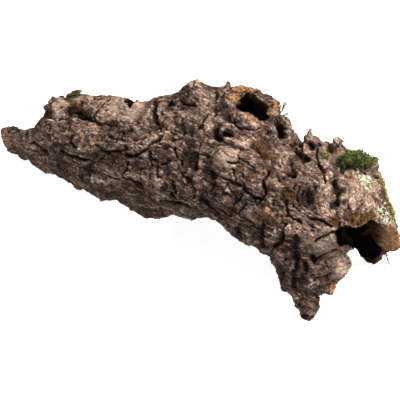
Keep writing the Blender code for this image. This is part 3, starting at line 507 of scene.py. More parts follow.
def cut_open(verts, tris):
    """The slab's mesh with CUTS taken out of it."""
    body = bmesh.new()
    made = [body.verts.new(v) for v in verts]
    for t in tris:
        if len(set(t.tolist())) == 3:
            try:
                body.faces.new([made[i] for i in t])
            except ValueError:
                pass
    bmesh.ops.remove_doubles(body, verts=body.verts[:], dist=1e-6)
    mesh = bpy.data.meshes.new("slab")
    body.to_mesh(mesh)
    body.free()
    for outline, depth in CUTS:
        middle = on_skin(*np.mean(outline, axis=0))
        if middle is None:
            continue
        near = (middle - TARGET) @ TOWARDS
        ends = []
        for d in (0.012, -depth * 0.001):
            ends += [TARGET + TOWARDS * (near + d) + (RIGHT * (x - 200) + DOWN * (y - 200)) * 0.001 * (1 - (near + d) / CAMERA_AWAY) for x, y in outline]
        n = len(outline)
        faces = [tuple(range(n)), tuple(range(2 * n - 1, n - 1, -1))] + [(k, k + n, (k + 1) % n + n, (k + 1) % n) for k in range(n)]
        cutter_mesh = make_mesh("cutter", ends, faces)
        shape = bmesh.new()
        shape.from_mesh(cutter_mesh)
        bmesh.ops.recalc_face_normals(shape, faces=shape.faces[:])
        shape.to_mesh(cutter_mesh)
        shape.free()
        cutter = bpy.data.objects.new("cutter", cutter_mesh)
        scene.collection.objects.link(cutter)
        result = with_modifier(mesh, "BOOLEAN", operation="DIFFERENCE", object=cutter, solver="EXACT")
        bpy.data.objects.remove(cutter)
        print("cut", len(mesh.polygons), "->", len(result.polygons), "near", round(near * 1000, 1))
        if len(result.polygons) > len(mesh.polygons) * 0.5:
            mesh = result
    return read_mesh(mesh), triangles_of(mesh)


def largest_island(mesh):
    """The mesh without the pieces that aren't joined to its largest one."""
    verts, tris = read_mesh(mesh), triangles_of(mesh)
    a = np.concatenate([tris[:, 0], tris[:, 1]])
    b = np.concatenate([tris[:, 1], tris[:, 2]])
    label = np.arange(len(verts))
    while True:
        before = label.copy()
        low = np.minimum(label[a], label[b])
        np.minimum.at(label, a, low)
        np.minimum.at(label, b, low)
        label = label[label]
        if (label == before).all():
            break
    names, sizes = np.unique(label, return_counts=True)
    kept = label == names[np.argmax(sizes)]
    number = np.cumsum(kept) - 1
    print("islands", len(names), "dropped", int((~kept).sum()))
    return fast_mesh("skin", verts[kept], number[tris[kept[tris].all(1)]])


def build_bark():
    verts, faces = joined([cut_open(base_verts, cad_tris), *knob_meshes()])
    soup = make_mesh("soup", verts, faces)
    skin = with_modifier(soup, "REMESH", mode="VOXEL", voxel_size=VOXEL, adaptivity=0.0)
    skin = largest_island(skin)
    points = read_mesh(skin)
    normals = np.zeros(len(points) * 3, np.float32)
    skin.vertex_normals.foreach_get("vector", normals)
    normals = normals.reshape(-1, 3).astype(float)
    tris = triangles_of(skin)
    mm = points * 1000.0

    # inside or outside of the hollow
    xs = np.arange(mm[:, 0].min(), mm[:, 0].max() + 5, 5.0)
    lows, highs, tops = [], [], []
    for x in xs:
        near = np.abs(mm[:, 0] - x) < 6
        lows.append(mm[near, 1].min())
        highs.append(mm[near, 1].max())
        tops.append(np.percentile(mm[near, 2], 95))
    middle = (np.interp(mm[:, 0], xs, lows) + np.interp(mm[:, 0], xs, highs)) / 2
    height = np.interp(mm[:, 0], xs, tops)
    out_y, out_z = mm[:, 1] - middle, mm[:, 2] - 0.35 * height
    length = np.sqrt(out_y**2 + out_z**2) + 1e-6
    facing = (normals[:, 1] * out_y + normals[:, 2] * out_z) / length
    outer = smoothstep(-0.35, 0.05, facing)

    # what the reference view sees
    skin_tree = BVHTree.FromPolygons([Vector(v) for v in points], [tuple(t) for t in tris.tolist()])
    flat = in_view(points)
    towards = Vector(TOWARDS)
    front = normals @ TOWARDS
    seen = np.zeros(len(points))
    for i in np.nonzero(front > -0.15)[0]:
        start = Vector(points[i] + normals[i] * 0.0015 + TOWARDS * 0.0015)
        if skin_tree.ray_cast(start, towards)[0] is None:
            seen[i] = 1.0
    seen *= smoothstep(-0.15, 0.1, front)

    # growth areas stay near the modelled surface
    grown = KDTree(sum(len(v) for v in growth_points.values()))
    k = 0
    for group in growth_points.values():
        for v in group:
            grown.insert(Vector(v), k)
            k += 1
    grown.balance()
    near_growth = np.zeros(len(points))
    spots = np.concatenate(list(growth_points.values()))
    low, high = spots.min(0) - 0.004, spots.max(0) + 0.004
    for i in np.nonzero(((points > low) & (points < high)).all(1))[0]:
        d = grown.find(Vector(points[i]))[2]
        if d < 0.004:
            near_growth[i] = 1 - d / 0.004

    # relief of its own, everywhere
    wobble = np.stack([noise3(mm, 11.0, k) for k in (41, 42, 43)], 1) * 3.4 + np.stack([noise3(mm, 4.2, k) for k in (44, 45, 46)], 1) * 1.5
    border, level = cells((mm + wobble) * np.array((0.42, 1.0, 1.0)), 12.0, 7)
    border2, level2 = cells((mm + wobble * 0.8) * np.array((0.45, 1.0, 1.0)), 5.0, 8)
    border3, level3 = cells((mm + wobble * 0.35) * np.array((1.5, 0.45, 0.45)), 8.0, 9)
    fade = smoothstep(-0.05, 0.45, fractal(mm, 18.0, 12, 2))
    fade2 = smoothstep(-0.05, 0.5, noise3(mm, 9.0, 13))
    fade3 = smoothstep(0.0, 0.5, noise3(mm, 14.0, 14))
    crack = (1 - smoothstep(0.1, 1.1, border)) * fade
    crack2 = (1 - smoothstep(0.05, 0.65, border2)) * fade2
    crack3 = (1 - smoothstep(0.03, 0.42, border3)) * fade3
    plate = (1 - np.exp(-border / 0.9)) * 0.6 - 0.5 + (level - 0.5) * 1.5
    plate2 = (1 - np.exp(-border2 / 0.6)) * 0.35 - 0.25 + (level2 - 0.5) * 0.8
    long_ridges = 1 - 2.2 * np.abs(noise3((mm + wobble) * np.array((0.30, 1.0, 1.0)), 11.0, 21))
    small_ridges = 1 - 2.2 * np.abs(noise3((mm + wobble * 0.8) * np.array((0.24, 1.0, 1.0)), 4.2, 22))
    grain = fractal(mm * np.array((0.6, 1.0, 1.0)), 2.6, 24, 3, 0.8)
    scales = 1 - 2.4 * np.abs(noise3((mm + wobble * 0.4) * np.array((0.4, 1.0, 1.0)), 2.7, 25))
    lumps = fractal(mm, 24.0, 23, 3)
    meander = np.abs(noise3((mm + wobble) * np.array((0.5, 1.0, 1.0)), 17.0, 26))
    gorge = (1 - smoothstep(0.0, 0.13, meander)) * (0.3 + 0.7 * smoothstep(-0.3, 0.3, noise3(mm, 20.0, 27)))
    fine = plate2 + 0.6 * small_ridges + 0.55 * grain + 0.35 * scales - 0.8 * crack2 - 0.8 * crack3
    own = plate * 1.2 + 2.0 * long_ridges + 3.0 * lumps - 1.7 * crack - 2.6 * gorge
    own -= own.mean() + 0.5
    calm = np.zeros(len(points))
    swell = np.zeros(len(points))
    cut = np.zeros(len(points))
    sunk = np.zeros(len(points))
    rag = noise3(mm, 2.6, 51) * 0.7 + noise3(mm, 6.0, 52) * 0.8
    vary = 0.55 + 0.45 * smoothstep(-0.5, 0.4, noise3(mm, 8.0, 53))
    visible = np.nonzero(seen > 0.01)[0]
    px = flat[visible, :2]
    jog = np.stack([noise3(mm[visible], 7.0, 61), noise3(mm[visible], 7.0, 62)], 1) * 1.3
    px = px + jog
    for x, y, rx, ry, amount in CALM:
        d = np.sqrt(((px[:, 0] - x) / rx) ** 2 + ((px[:, 1] - y) / ry) ** 2)
        calm[visible] = np.maximum(calm[visible], amount * (1 - smoothstep(0.6, 1.25, d)))
    for x, y, rx, ry, rise in SWELLS:
        d = np.sqrt(((px[:, 0] - x) / rx) ** 2 + ((px[:, 1] - y) / ry) ** 2)
        swell[visible] += 1.4 * rise * (1 - smoothstep(0.15, 1.2, d))
    for width, depth, line in CRACKS:
        a = np.array(line, float)
        reach = width * 2.2 + 2
        near = np.nonzero((px > a.min(0) - reach).all(1) & (px < a.max(0) + reach).all(1))[0]
        if not len(near):
            continue
        width = max(width, 0.9)
        d = polyline_distance(px[near], line) + rag[visible[near]] * min(0.75, width * 0.32)
        profile = 1 - smoothstep(width * 0.35, width * 1.45, d)
        index = visible[near]
        cut[index] = np.maximum(cut[index], depth * profile * vary[index])
        sunk[index] = np.maximum(sunk[index], profile * min(1.0, 0.40 + depth / 5.0) * (0.5 + 0.5 * vary[index]))
        lip = np.exp(-(((d - width * 2.0) / (width * 0.7 + 0.4)) ** 2)) * min(0.5, depth * 0.14)
        swell[index] += lip
    cut *= seen
    sunk *= seen
    swell *= seen
    # layers: slopes of the relief break into thin steps
    raised = own * (1 - 0.40 * seen) * (1 - 0.85 * calm * seen) + swell
    layer = raised / 2.0 + 0.4 * noise3(mm, 9.0, 28) + 0.12 * noise3(mm, 2.2, 29)
    part = layer - np.floor(layer)
    raised = raised + 2.0 * 0.55 * (np.floor(layer) + smoothstep(0.35, 0.70, part) - layer)
    foot_line = np.exp(-(((part - 0.33) / 0.13) ** 2))
    fine_part = fine * (1 - 0.5 * calm * seen)
    # inside of the hollow: long shallow ridges
    inside = 1.1 * fractal(mm * np.array((0.22, 1.0, 1.0)), 5.0, 31, 3) + 1.0 * fractal(mm, 20.0, 32, 2) + 0.4 * grain + 0.6 * small_ridges + 0.3 * scales - 0.5 * crack3
    relief = outer * (raised + fine_part - 1.35 * cut) + (1 - outer) * inside
    relief = np.clip(relief, -7.0, 5.0) * (1 - 0.8 * near_growth)
    relief *= 0.15 + 0.85 * smoothstep(0.6, 5.0, mm[:, 2])
    moved = points + normals * (relief * 0.001)[:, None]
    moved[:, 2] = np.maximum(moved[:, 2], 0.0)
    # painted shade in cracks, gorges, low places and at the foot of the layer steps
    crevice_shade = np.maximum(np.maximum(crack, gorge) * 0.6, np.maximum(crack2 * 0.55, crack3 * 0.5))
    crevice_shade = np.maximum(crevice_shade, smoothstep(0.8, 3.8, -relief) * 0.5)
    crevice_shade = np.maximum(crevice_shade, smoothstep(0.4, 1.6, -fine) * 0.4 * (1 - 0.6 * calm))
    crevice_shade = np.maximum(crevice_shade, foot_line * 0.30) * (1 - 0.25 * seen)
    crevice_shade = np.clip(np.maximum(crevice_shade, sunk) * outer, 0, 1)
    kinds = {k: np.zeros(len(points)) for k in ("tan", "raw", "pale", "stain", "dark", "black")}
    blot = noise3(mm[visible], 4.0, 71) * 0.30 + noise3(mm[visible], 1.7, 72) * 0.18
    for kind, x, y, rx, ry, amount in PATCHES:
        d = np.sqrt(((px[:, 0] - x) / rx) ** 2 + ((px[:, 1] - y) / ry) ** 2) + blot
        kinds[kind][visible] = np.maximum(kinds[kind][visible], amount * (1 - smoothstep(0.65, 1.25, d)))
    for kind, amount, soft, corners in SHAPES:
        ring = np.array(corners, float)
        inside = np.zeros(len(px), bool)
        for (x0, y0), (x1, y1) in zip(ring, np.roll(ring, -1, axis=0)):
            crosses = ((y0 > px[:, 1]) != (y1 > px[:, 1])) & (px[:, 0] < (x1 - x0) * (px[:, 1] - y0) / (y1 - y0 + 1e-12) + x0)
            inside ^= crosses
        d = polyline_distance(px, [tuple(c) for c in ring] + [tuple(ring[0])]) * np.where(inside, -1, 1) + blot * 2
        kinds[kind][visible] = np.maximum(kinds[kind][visible], amount * (1 - smoothstep(-soft, soft, d)))
    # edges just out of sight look like what is beside them
    beside = KDTree(len(visible))
    for k, i in enumerate(visible):
        beside.insert(points[i], k)
    beside.balance()
    for i in np.nonzero(seen <= 0.01)[0]:
        k, d = beside.find(points[i])[1:]
        if d < 0.003:
            for values in kinds.values():
                values[i] = values[visible[k]] * (1 - d / 0.003) ** 0.5
    # painted shade: the side that faces down is darker
    kinds["dark"] = np.maximum(kinds["dark"], outer * 0.42 * smoothstep(0.35, -0.5, normals[:, 2]))
    # painted shade: far inside the hollow the inner skin is painted nearly black
    far_in = smoothstep(212, 190, mm[:, 0]) * smoothstep(-222, -205, mm[:, 0]) * (1 - outer)
    kinds["black"] = np.maximum(kinds["black"], far_in * 0.75)
    # broken lower edges and ends show raw cork
    edge = smoothstep(0.55, 0.85, -normals[:, 2]) * smoothstep(-0.6, 0.2, facing) * (1 - smoothstep(10, 20, mm[:, 2]))
    end = smoothstep(0.55, 0.85, np.abs(normals[:, 0])) * (1 - smoothstep(0.25, 0.55, np.abs(facing))) * np.maximum(smoothstep(200, 212, mm[:, 0]), smoothstep(-215, -221, mm[:, 0]))
    kinds["tan"] = np.maximum(kinds["tan"], np.maximum(edge * 0.5, end * 0.8) * (0.6 + 0.4 * noise3(mm, 6.0, 81)))
    # raised places, which the material paints lighter as a highlight
    high = np.clip(smoothstep(0.0, 3.0, relief) * 0.5 + smoothstep(0.0, 1.5, fine) * 0.5, 0, 1) * outer

    # fewer faces where the reference view doesn't look
    skin.vertices.foreach_set("co", moved.astype(np.float32).ravel())
    skin.update()
    ob = bpy.data.objects.new("thin", skin)
    group = ob.vertex_groups.new(name="loose")
    hidden = np.nonzero(seen < 0.01)[0].tolist()
    group.add(hidden, 1.0, "REPLACE")
    scene.collection.objects.link(ob)
    count = len(tris)
    hidden_faces = int((seen[tris] < 0.01).all(1).sum())
    first = ob.modifiers.new("a", "DECIMATE")
    first.ratio = max(0.05, (count - hidden_faces + HIDDEN_FACES) / count)
    first.vertex_group = "loose"
    first.vertex_group_factor = 1.0
    left = count * first.ratio
    second = ob.modifiers.new("b", "DECIMATE")
    second.ratio = min(1.0, BARK_FACES / left)
    final = bpy.data.meshes.new_from_object(ob.evaluated_get(bpy.context.evaluated_depsgraph_get()))
    bpy.data.objects.remove(ob)
    body = bmesh.new()
    body.from_mesh(final)
    bmesh.ops.triangulate(body, faces=body.faces[:])
    bmesh.ops.dissolve_degenerate(body, dist=1e-6, edges=body.edges[:])
    bmesh.ops.triangulate(body, faces=body.faces[:])
    body.to_mesh(final)
    body.free()
    print("bark", count, "->", len(final.polygons), "hidden", hidden_faces)
    look = KDTree(len(moved))
    for i, p in enumerate(moved):
        look.insert(p, i)
    look.balance()
    end_points = read_mesh(final)
    nearest = np.array([look.find(p)[1] for p in end_points])
    for name, values in (("crevice_shade", crevice_shade), ("inner", 1 - outer), ("high", high), *kinds.items()):
        set_attribute(final, name, values[nearest])
    return final


# ---------------------------------------------------------------- materials
def add(tree, kind, values=None, **props):
    node = tree.nodes.new(kind)
    for key, value in props.items():
        setattr(node, key, value)
    for key, value in (values or {}).items():
        if isinstance(value, bpy.types.NodeSocket):
            tree.links.new(value, node.inputs[key])
        else:
            node.inputs[key].default_value = value
    return node


def new_material(name):
    material = bpy.data.materials.new(name)
    material.use_nodes = True
    tree = material.node_tree
    shader = next(n for n in tree.nodes if n.type == "BSDF_PRINCIPLED")
    shader.inputs["Specular IOR Level"].default_value = 0.25
    return material, tree, shader


def rgb(r, g, b):
    """Linear colour of an sRGB one from 0 to 255."""
    def one(v):
        v /= 255.0
        return v / 12.92 if v <= 0.04045 else ((v + 0.055) / 1.055) ** 2.4
    return (one(r), one(g), one(b), 1.0)


def mix(tree, factor, a, b, blend="MIX"):
    node = add(tree, "ShaderNodeMix", data_type="RGBA", blend_type=blend)
    for index, value in ((0, factor), (6, a), (7, b)):
        if isinstance(value, bpy.types.NodeSocket):
            tree.links.new(value, node.inputs[index])
        else:
            node.inputs[index].default_value = value
    return node.outputs[2]


def maths(tree, operation, a, b=0.0, clamp=False):
    node = add(tree, "ShaderNodeMath", operation=operation, use_clamp=clamp)
    for index, value in ((0, a), (1, b)):
        if isinstance(value, bpy.types.NodeSocket):
            tree.links.new(value, node.inputs[index])
        else:
            node.inputs[index].default_value = value
    return node.outputs[0]


def attribute(tree, name):
    return add(tree, "ShaderNodeAttribute", attribute_name=name).outputs["Fac"]


def spread(tree, value, low, high, to_low=0.0, to_high=1.0):
    node = add(tree, "ShaderNodeMapRange", interpolation_type="SMOOTHSTEP")
    tree.links.new(value, node.inputs[0])
    for index, number in ((1, low), (2, high), (3, to_low), (4, to_high)):
        node.inputs[index].default_value = number
    return node.outputs[0]


def cork_material():
    material, tree, shader = new_material("cork_bark_look")
    place = add(tree, "ShaderNodeTexCoord").outputs["Object"]

    def noise(scale, detail, rough, stretch=None):
        vector = place
        if stretch:
            vector = add(tree, "ShaderNodeMapping", {"Vector": place, "Scale": stretch}).outputs[0]
        return add(tree, "ShaderNodeTexNoise", {"Vector": vector, "Scale": scale, "Detail": detail, "Roughness": rough}).outputs["Fac"]

    broad = noise(45.0, 3.0, 0.55)
    medium = noise(190.0, 4.0, 0.6, (0.5, 1.0, 1.0))
    fine = noise(620.0, 4.0, 0.65, (0.4, 1.0, 1.0))
    streak = noise(260.0, 4.0, 0.6, (0.25, 1.0, 1.0))
    grit = noise(1500.0, 3.0, 0.75)
    # weathered skin: dark brown-grey to pale pinkish grey
    tone = maths(tree, "ADD", maths(tree, "MULTIPLY", broad, 0.30), maths(tree, "MULTIPLY", medium, 0.40))
    tone = maths(tree, "ADD", tone, maths(tree, "MULTIPLY", fine, 0.42))
    tone = maths(tree, "ADD", tone, maths(tree, "MULTIPLY", maths(tree, "SUBTRACT", streak, 0.5), 0.45))
    # painted highlight: raised places of the relief are a little lighter
    tone = maths(tree, "ADD", tone, maths(tree, "MULTIPLY", attribute(tree, "high"), 0.17))
    ramp = add(tree, "ShaderNodeValToRGB", {"Fac": spread(tree, tone, 0.42, 0.82)})
    points = ramp.color_ramp.elements
    points[0].position, points[0].color = 0.0, rgb(60, 47, 41)
    points[1].position, points[1].color = 1.0, rgb(212, 184, 164)
    for position, colour in ((0.30, rgb(104, 82, 71)), (0.52, rgb(139, 112, 98)), (0.76, rgb(175, 146, 129))):
        stop = points.new(position)
        stop.color = colour
    colour = ramp.outputs["Color"]
    # pale patches: partly the skin's paler weathered plates, partly painted highlight on the lit tops
    pale = mix(tree, medium, rgb(152, 126, 110), rgb(212, 183, 162))
    pale = mix(tree, spread(tree, fine, 0.55, 0.72), pale, rgb(206, 184, 168))
    colour = mix(tree, spread(tree, maths(tree, "ADD", attribute(tree, "pale"), maths(tree, "MULTIPLY", maths(tree, "SUBTRACT", medium, 0.5), 0.8)), 0.15, 1.0), colour, pale)
    # thin creases along the slab and short ones across it, sunk in the bump and painted dark: painted shade in the
    # grooves
    along = spread(tree, maths(tree, "ABSOLUTE", maths(tree, "SUBTRACT", noise(190.0, 5.0, 0.62, (0.35, 1.0, 1.0)), 0.5)), 0.0, 0.045)
    across = spread(tree, maths(tree, "ABSOLUTE", maths(tree, "SUBTRACT", noise(170.0, 4.0, 0.6, (1.7, 0.5, 0.5)), 0.5)), 0.0, 0.030)
    crease = maths(tree, "MULTIPLY", along, maths(tree, "MAXIMUM", across, spread(tree, broad, 0.40, 0.52)))
    plain = maths(tree, "SUBTRACT", 1.0, maths(tree, "MULTIPLY", attribute(tree, "pale"), 0.45, clamp=True))
    colour = mix(tree, maths(tree, "MULTIPLY", maths(tree, "MULTIPLY", maths(tree, "SUBTRACT", 1.0, crease), 0.62), plain), colour, rgb(30, 22, 19))
    # short chinks between small scales, sunk in the bump and painted dark: painted shade in the grooves
    chink = add(tree, "ShaderNodeVectorMath", {0: place, 1: (0.62, 1.0, 1.0)}, operation="MULTIPLY").outputs[0]
    chink = mix(tree, 0.004, chink, add(tree, "ShaderNodeTexNoise", {"Vector": place, "Scale": 120.0, "Detail": 3.0}).outputs["Color"], "ADD")
    chink = add(tree, "ShaderNodeTexVoronoi", {"Vector": chink, "Scale": 230.0}, feature="DISTANCE_TO_EDGE").outputs["Distance"]
    chink = maths(tree, "MULTIPLY", spread(tree, chink, 0.10, 0.03), spread(tree, medium, 0.44, 0.56))
    colour = mix(tree, maths(tree, "MULTIPLY", chink, 0.42), colour, rgb(30, 22, 19))
    # raw cork where the skin is worn or broken away
    worn = mix(tree, spread(tree, fine, 0.35, 0.65), rgb(104, 74, 54), rgb(208, 170, 140))
    speck = spread(tree, fine, 0.66, 0.74)
    worn_amount = maths(tree, "ADD", attribute(tree, "tan"), maths(tree, "MULTIPLY", maths(tree, "SUBTRACT", medium, 0.5), 0.9))
    colour = mix(tree, spread(tree, worn_amount, 0.20, 0.75), colour, worn)
    fresh = mix(tree, spread(tree, fine, 0.35, 0.65), rgb(108, 74, 47), rgb(194, 147, 106))
    fresh_amount = maths(tree, "ADD", attribute(tree, "raw"), maths(tree, "MULTIPLY", maths(tree, "SUBTRACT", medium, 0.5), 0.7))
    colour = mix(tree, spread(tree, fresh_amount, 0.25, 0.75), colour, fresh)
    # small flecks of raw cork all over
    flecks = spread(tree, maths(tree, "MULTIPLY", noise(330.0, 3.0, 0.6), maths(tree, "ADD", broad, 0.45)), 0.60, 0.70)
    colour = mix(tree, maths(tree, "MULTIPLY", flecks, 0.45), colour, rgb(150, 108, 78))
    # brown stains of dry moss
    stain = maths(tree, "ADD", attribute(tree, "stain"), maths(tree, "MULTIPLY", maths(tree, "SUBTRACT", fine, 0.5), 2.2))
    colour = mix(tree, spread(tree, stain, 0.20, 0.85), colour, mix(tree, medium, rgb(40, 26, 12), rgb(92, 62, 32)))
    # dark specks where the fine grain is low and light ones where it is high: partly the bark's own specks, partly
    # painted shade in the pits and painted highlight on the tops
    pits = spread(tree, fine, 0.44, 0.33)
    colour = mix(tree, maths(tree, "MULTIPLY", maths(tree, "MULTIPLY", pits, 0.75), plain), colour, rgb(36, 28, 25))
    colour = mix(tree, maths(tree, "MULTIPLY", speck, 0.25), colour, rgb(178, 152, 132))
    # raw cork inside the hollow
    belly = mix(tree, noise(140.0, 4.0, 0.6, (0.2, 1.0, 1.0)), rgb(86, 58, 40), rgb(176, 130, 96))
    colour = mix(tree, spread(tree, attribute(tree, "inner"), 0.35, 0.75), colour, belly)
    # painted shade: the dark patches and the side facing down, then the crevices
    painted_shade_amount = maths(tree, "MULTIPLY", attribute(tree, "dark"), 0.85, clamp=True)
    colour = mix(tree, painted_shade_amount, colour, mix(tree, medium, rgb(30, 24, 21), rgb(62, 50, 44)))
    depth = maths(tree, "ADD", attribute(tree, "crevice_shade"), maths(tree, "MULTIPLY", maths(tree, "SUBTRACT", fine, 0.5), 0.5))
    colour = mix(tree, spread(tree, depth, 0.18, 0.85, 0.0, 0.92), colour, rgb(24, 18, 16))
    # painted shade: nearly black in the mouth, the holes and far inside the hollow
    colour = mix(tree, spread(tree, attribute(tree, "black"), 0.1, 0.9), colour, rgb(9, 7, 6))
    tree.links.new(colour, shader.inputs["Base Color"])
    tree.links.new(maths(tree, "MULTIPLY", maths(tree, "SUBTRACT", 1.0, spread(tree, attribute(tree, "black"), 0.1, 0.7)), 0.08), shader.inputs["Specular IOR Level"])
    rough = add(tree, "ShaderNodeMapRange")
    tree.links.new(fine, rough.inputs[0])
    rough.inputs[3].default_value, rough.inputs[4].default_value = 0.78, 0.98
    tree.links.new(rough.outputs[0], shader.inputs["Roughness"])
    # small cracks, scales and grit
    warp = add(tree, "ShaderNodeTexNoise", {"Vector": place, "Scale": 240.0, "Detail": 2.0})
    bent = mix(tree, 0.0016, place, warp.outputs["Color"], "ADD")
    crackle = add(tree, "ShaderNodeTexVoronoi", {"Vector": bent, "Scale": 330.0}, feature="DISTANCE_TO_EDGE").outputs["Distance"]
    height = maths(tree, "MULTIPLY", spread(tree, crackle, 0.0, 0.10), 0.35)
    height = maths(tree, "ADD", height, maths(tree, "MULTIPLY", fine, 1.2))
    height = maths(tree, "ADD", height, maths(tree, "MULTIPLY", medium, 0.7))
    height = maths(tree, "ADD", height, maths(tree, "MULTIPLY", grit, 0.35))
    height = maths(tree, "ADD", height, maths(tree, "MULTIPLY", streak, 1.2))
    fibre = noise(700.0, 4.0, 0.65, (0.18, 1.0, 1.0))
    height = maths(tree, "ADD", height, maths(tree, "MULTIPLY", fibre, 1.2))
    height = maths(tree, "ADD", height, maths(tree, "SUBTRACT", maths(tree, "MULTIPLY", crease, 1.3), maths(tree, "MULTIPLY", chink, 0.6)))
    bump = add(tree, "ShaderNodeBump", {"Height": height, "Strength": 1.0, "Distance": 0.0020})
    tree.links.new(bump.outputs[0], shader.inputs["Normal"])
    return material


def growth_material(name, dark, mid, bright, scale=420.0, rough=(0.6, 0.9), bump=0.0003):
    """Leaves or lobes: dark at the root, bright at the tip, each a little different; in the moss the dark root is
    partly the leaves' own colour and partly painted shade low in the clumps.
    """
    material, tree, shader = new_material(name)
    place = add(tree, "ShaderNodeTexCoord").outputs["Object"]
    broad = add(tree, "ShaderNodeTexNoise", {"Vector": place, "Scale": scale * 0.35, "Detail": 3.0}).outputs["Fac"]
    fine = add(tree, "ShaderNodeTexNoise", {"Vector": place, "Scale": scale * 3.0, "Detail": 3.0, "Roughness": 0.7}).outputs["Fac"]
    own = attribute(tree, "own")
    tip = attribute(tree, "tip")
    value = maths(tree, "ADD", maths(tree, "MULTIPLY", tip, 0.55), maths(tree, "MULTIPLY", own, 0.30))
    value = maths(tree, "ADD", value, maths(tree, "MULTIPLY", maths(tree, "SUBTRACT", broad, 0.5), 0.9))
    value = maths(tree, "ADD", value, maths(tree, "MULTIPLY", maths(tree, "SUBTRACT", fine, 0.5), 0.3))
    ramp = add(tree, "ShaderNodeValToRGB", {"Fac": value})
    points = ramp.color_ramp.elements
    points[0].position, points[0].color = 0.0, dark
    points[1].position, points[1].color = 0.9, bright
    stop = points.new(0.42)
    stop.color = mid
    tree.links.new(ramp.outputs["Color"], shader.inputs["Base Color"])
    roughness = add(tree, "ShaderNodeMapRange")
    tree.links.new(fine, roughness.inputs[0])
    roughness.inputs[3].default_value, roughness.inputs[4].default_value = rough
    tree.links.new(roughness.outputs[0], shader.inputs["Roughness"])
    bumps = add(tree, "ShaderNodeBump", {"Height": fine, "Strength": 0.6, "Distance": bump})
    tree.links.new(bumps.outputs[0], shader.inputs["Normal"])
    return material


# ---------------------------------------------------------------- growths
growth_meshes, growth_points = {}, {}
for node_name, node_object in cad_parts.items():
    if node_name != "bark":
        v, t = warped(read_mesh(node_object.data)), triangles_of(node_object.data)
        growth_meshes[node_name] = (v, t)
        growth_points[node_name] = v


def samples(verts, tris, count, random):
    """Random places on a mesh, with the direction out of it."""
    a, b, c = verts[tris[:, 0]], verts[tris[:, 1]], verts[tris[:, 2]]
    cross = np.cross(b - a, c - a)
    area = np.linalg.norm(cross, axis=1)
    pick = random.choice(len(tris), count, p=area / area.sum())
    r = random.random((count, 2))
    r = np.where(r.sum(1, keepdims=True) > 1, 1 - r, r)
    return a[pick] + (b - a)[pick] * r[:, :1] + (c - a)[pick] * r[:, 1:], cross[pick] / area[pick][:, None]


def leaves(points, ways, lengths, widths, random, bend=0.35):
    """Closed curved leaves, three-sided at the root and in the middle, with a point."""
    n = len(points)
    ways = ways / np.linalg.norm(ways, axis=1, keepdims=True)
    side = np.cross(ways, random.normal(size=(n, 3)))
    side /= np.linalg.norm(side, axis=1, keepdims=True)
    other = np.cross(ways, side)
    droop = random.normal(size=(n, 3)) * bend
    verts = np.zeros((n, 7, 3))
    for ring, (along, wide) in enumerate(((0.0, 0.55), (0.5, 1.0))):
        middle = points + ways * (lengths * along)[:, None] + droop * (lengths * along**2)[:, None]
        for s in range(3):
            a = 2 * math.pi * s / 3
            verts[:, ring * 3 + s] = middle + (side * math.cos(a) + other * math.sin(a) * 0.45) * (widths * wide * 0.5)[:, None]
    verts[:, 6] = points + ways * lengths[:, None] + droop * lengths[:, None]
    one = [(0, 2, 1)]
    for s in range(3):
        t = (s + 1) % 3
        one += [(s, t, 3 + t), (s, 3 + t, 3 + s), (3 + s, 3 + t, 6)]
    tris = (np.arange(n)[:, None, None] * 7 + np.array(one)[None]).reshape(-1, 3)
    tips = np.tile(np.array((0.1, 0.1, 0.1, 0.55, 0.55, 0.55, 1.0)), n)
    own = np.repeat(random.random(n), 7)
    return verts.reshape(-1, 3), tris, tips, own


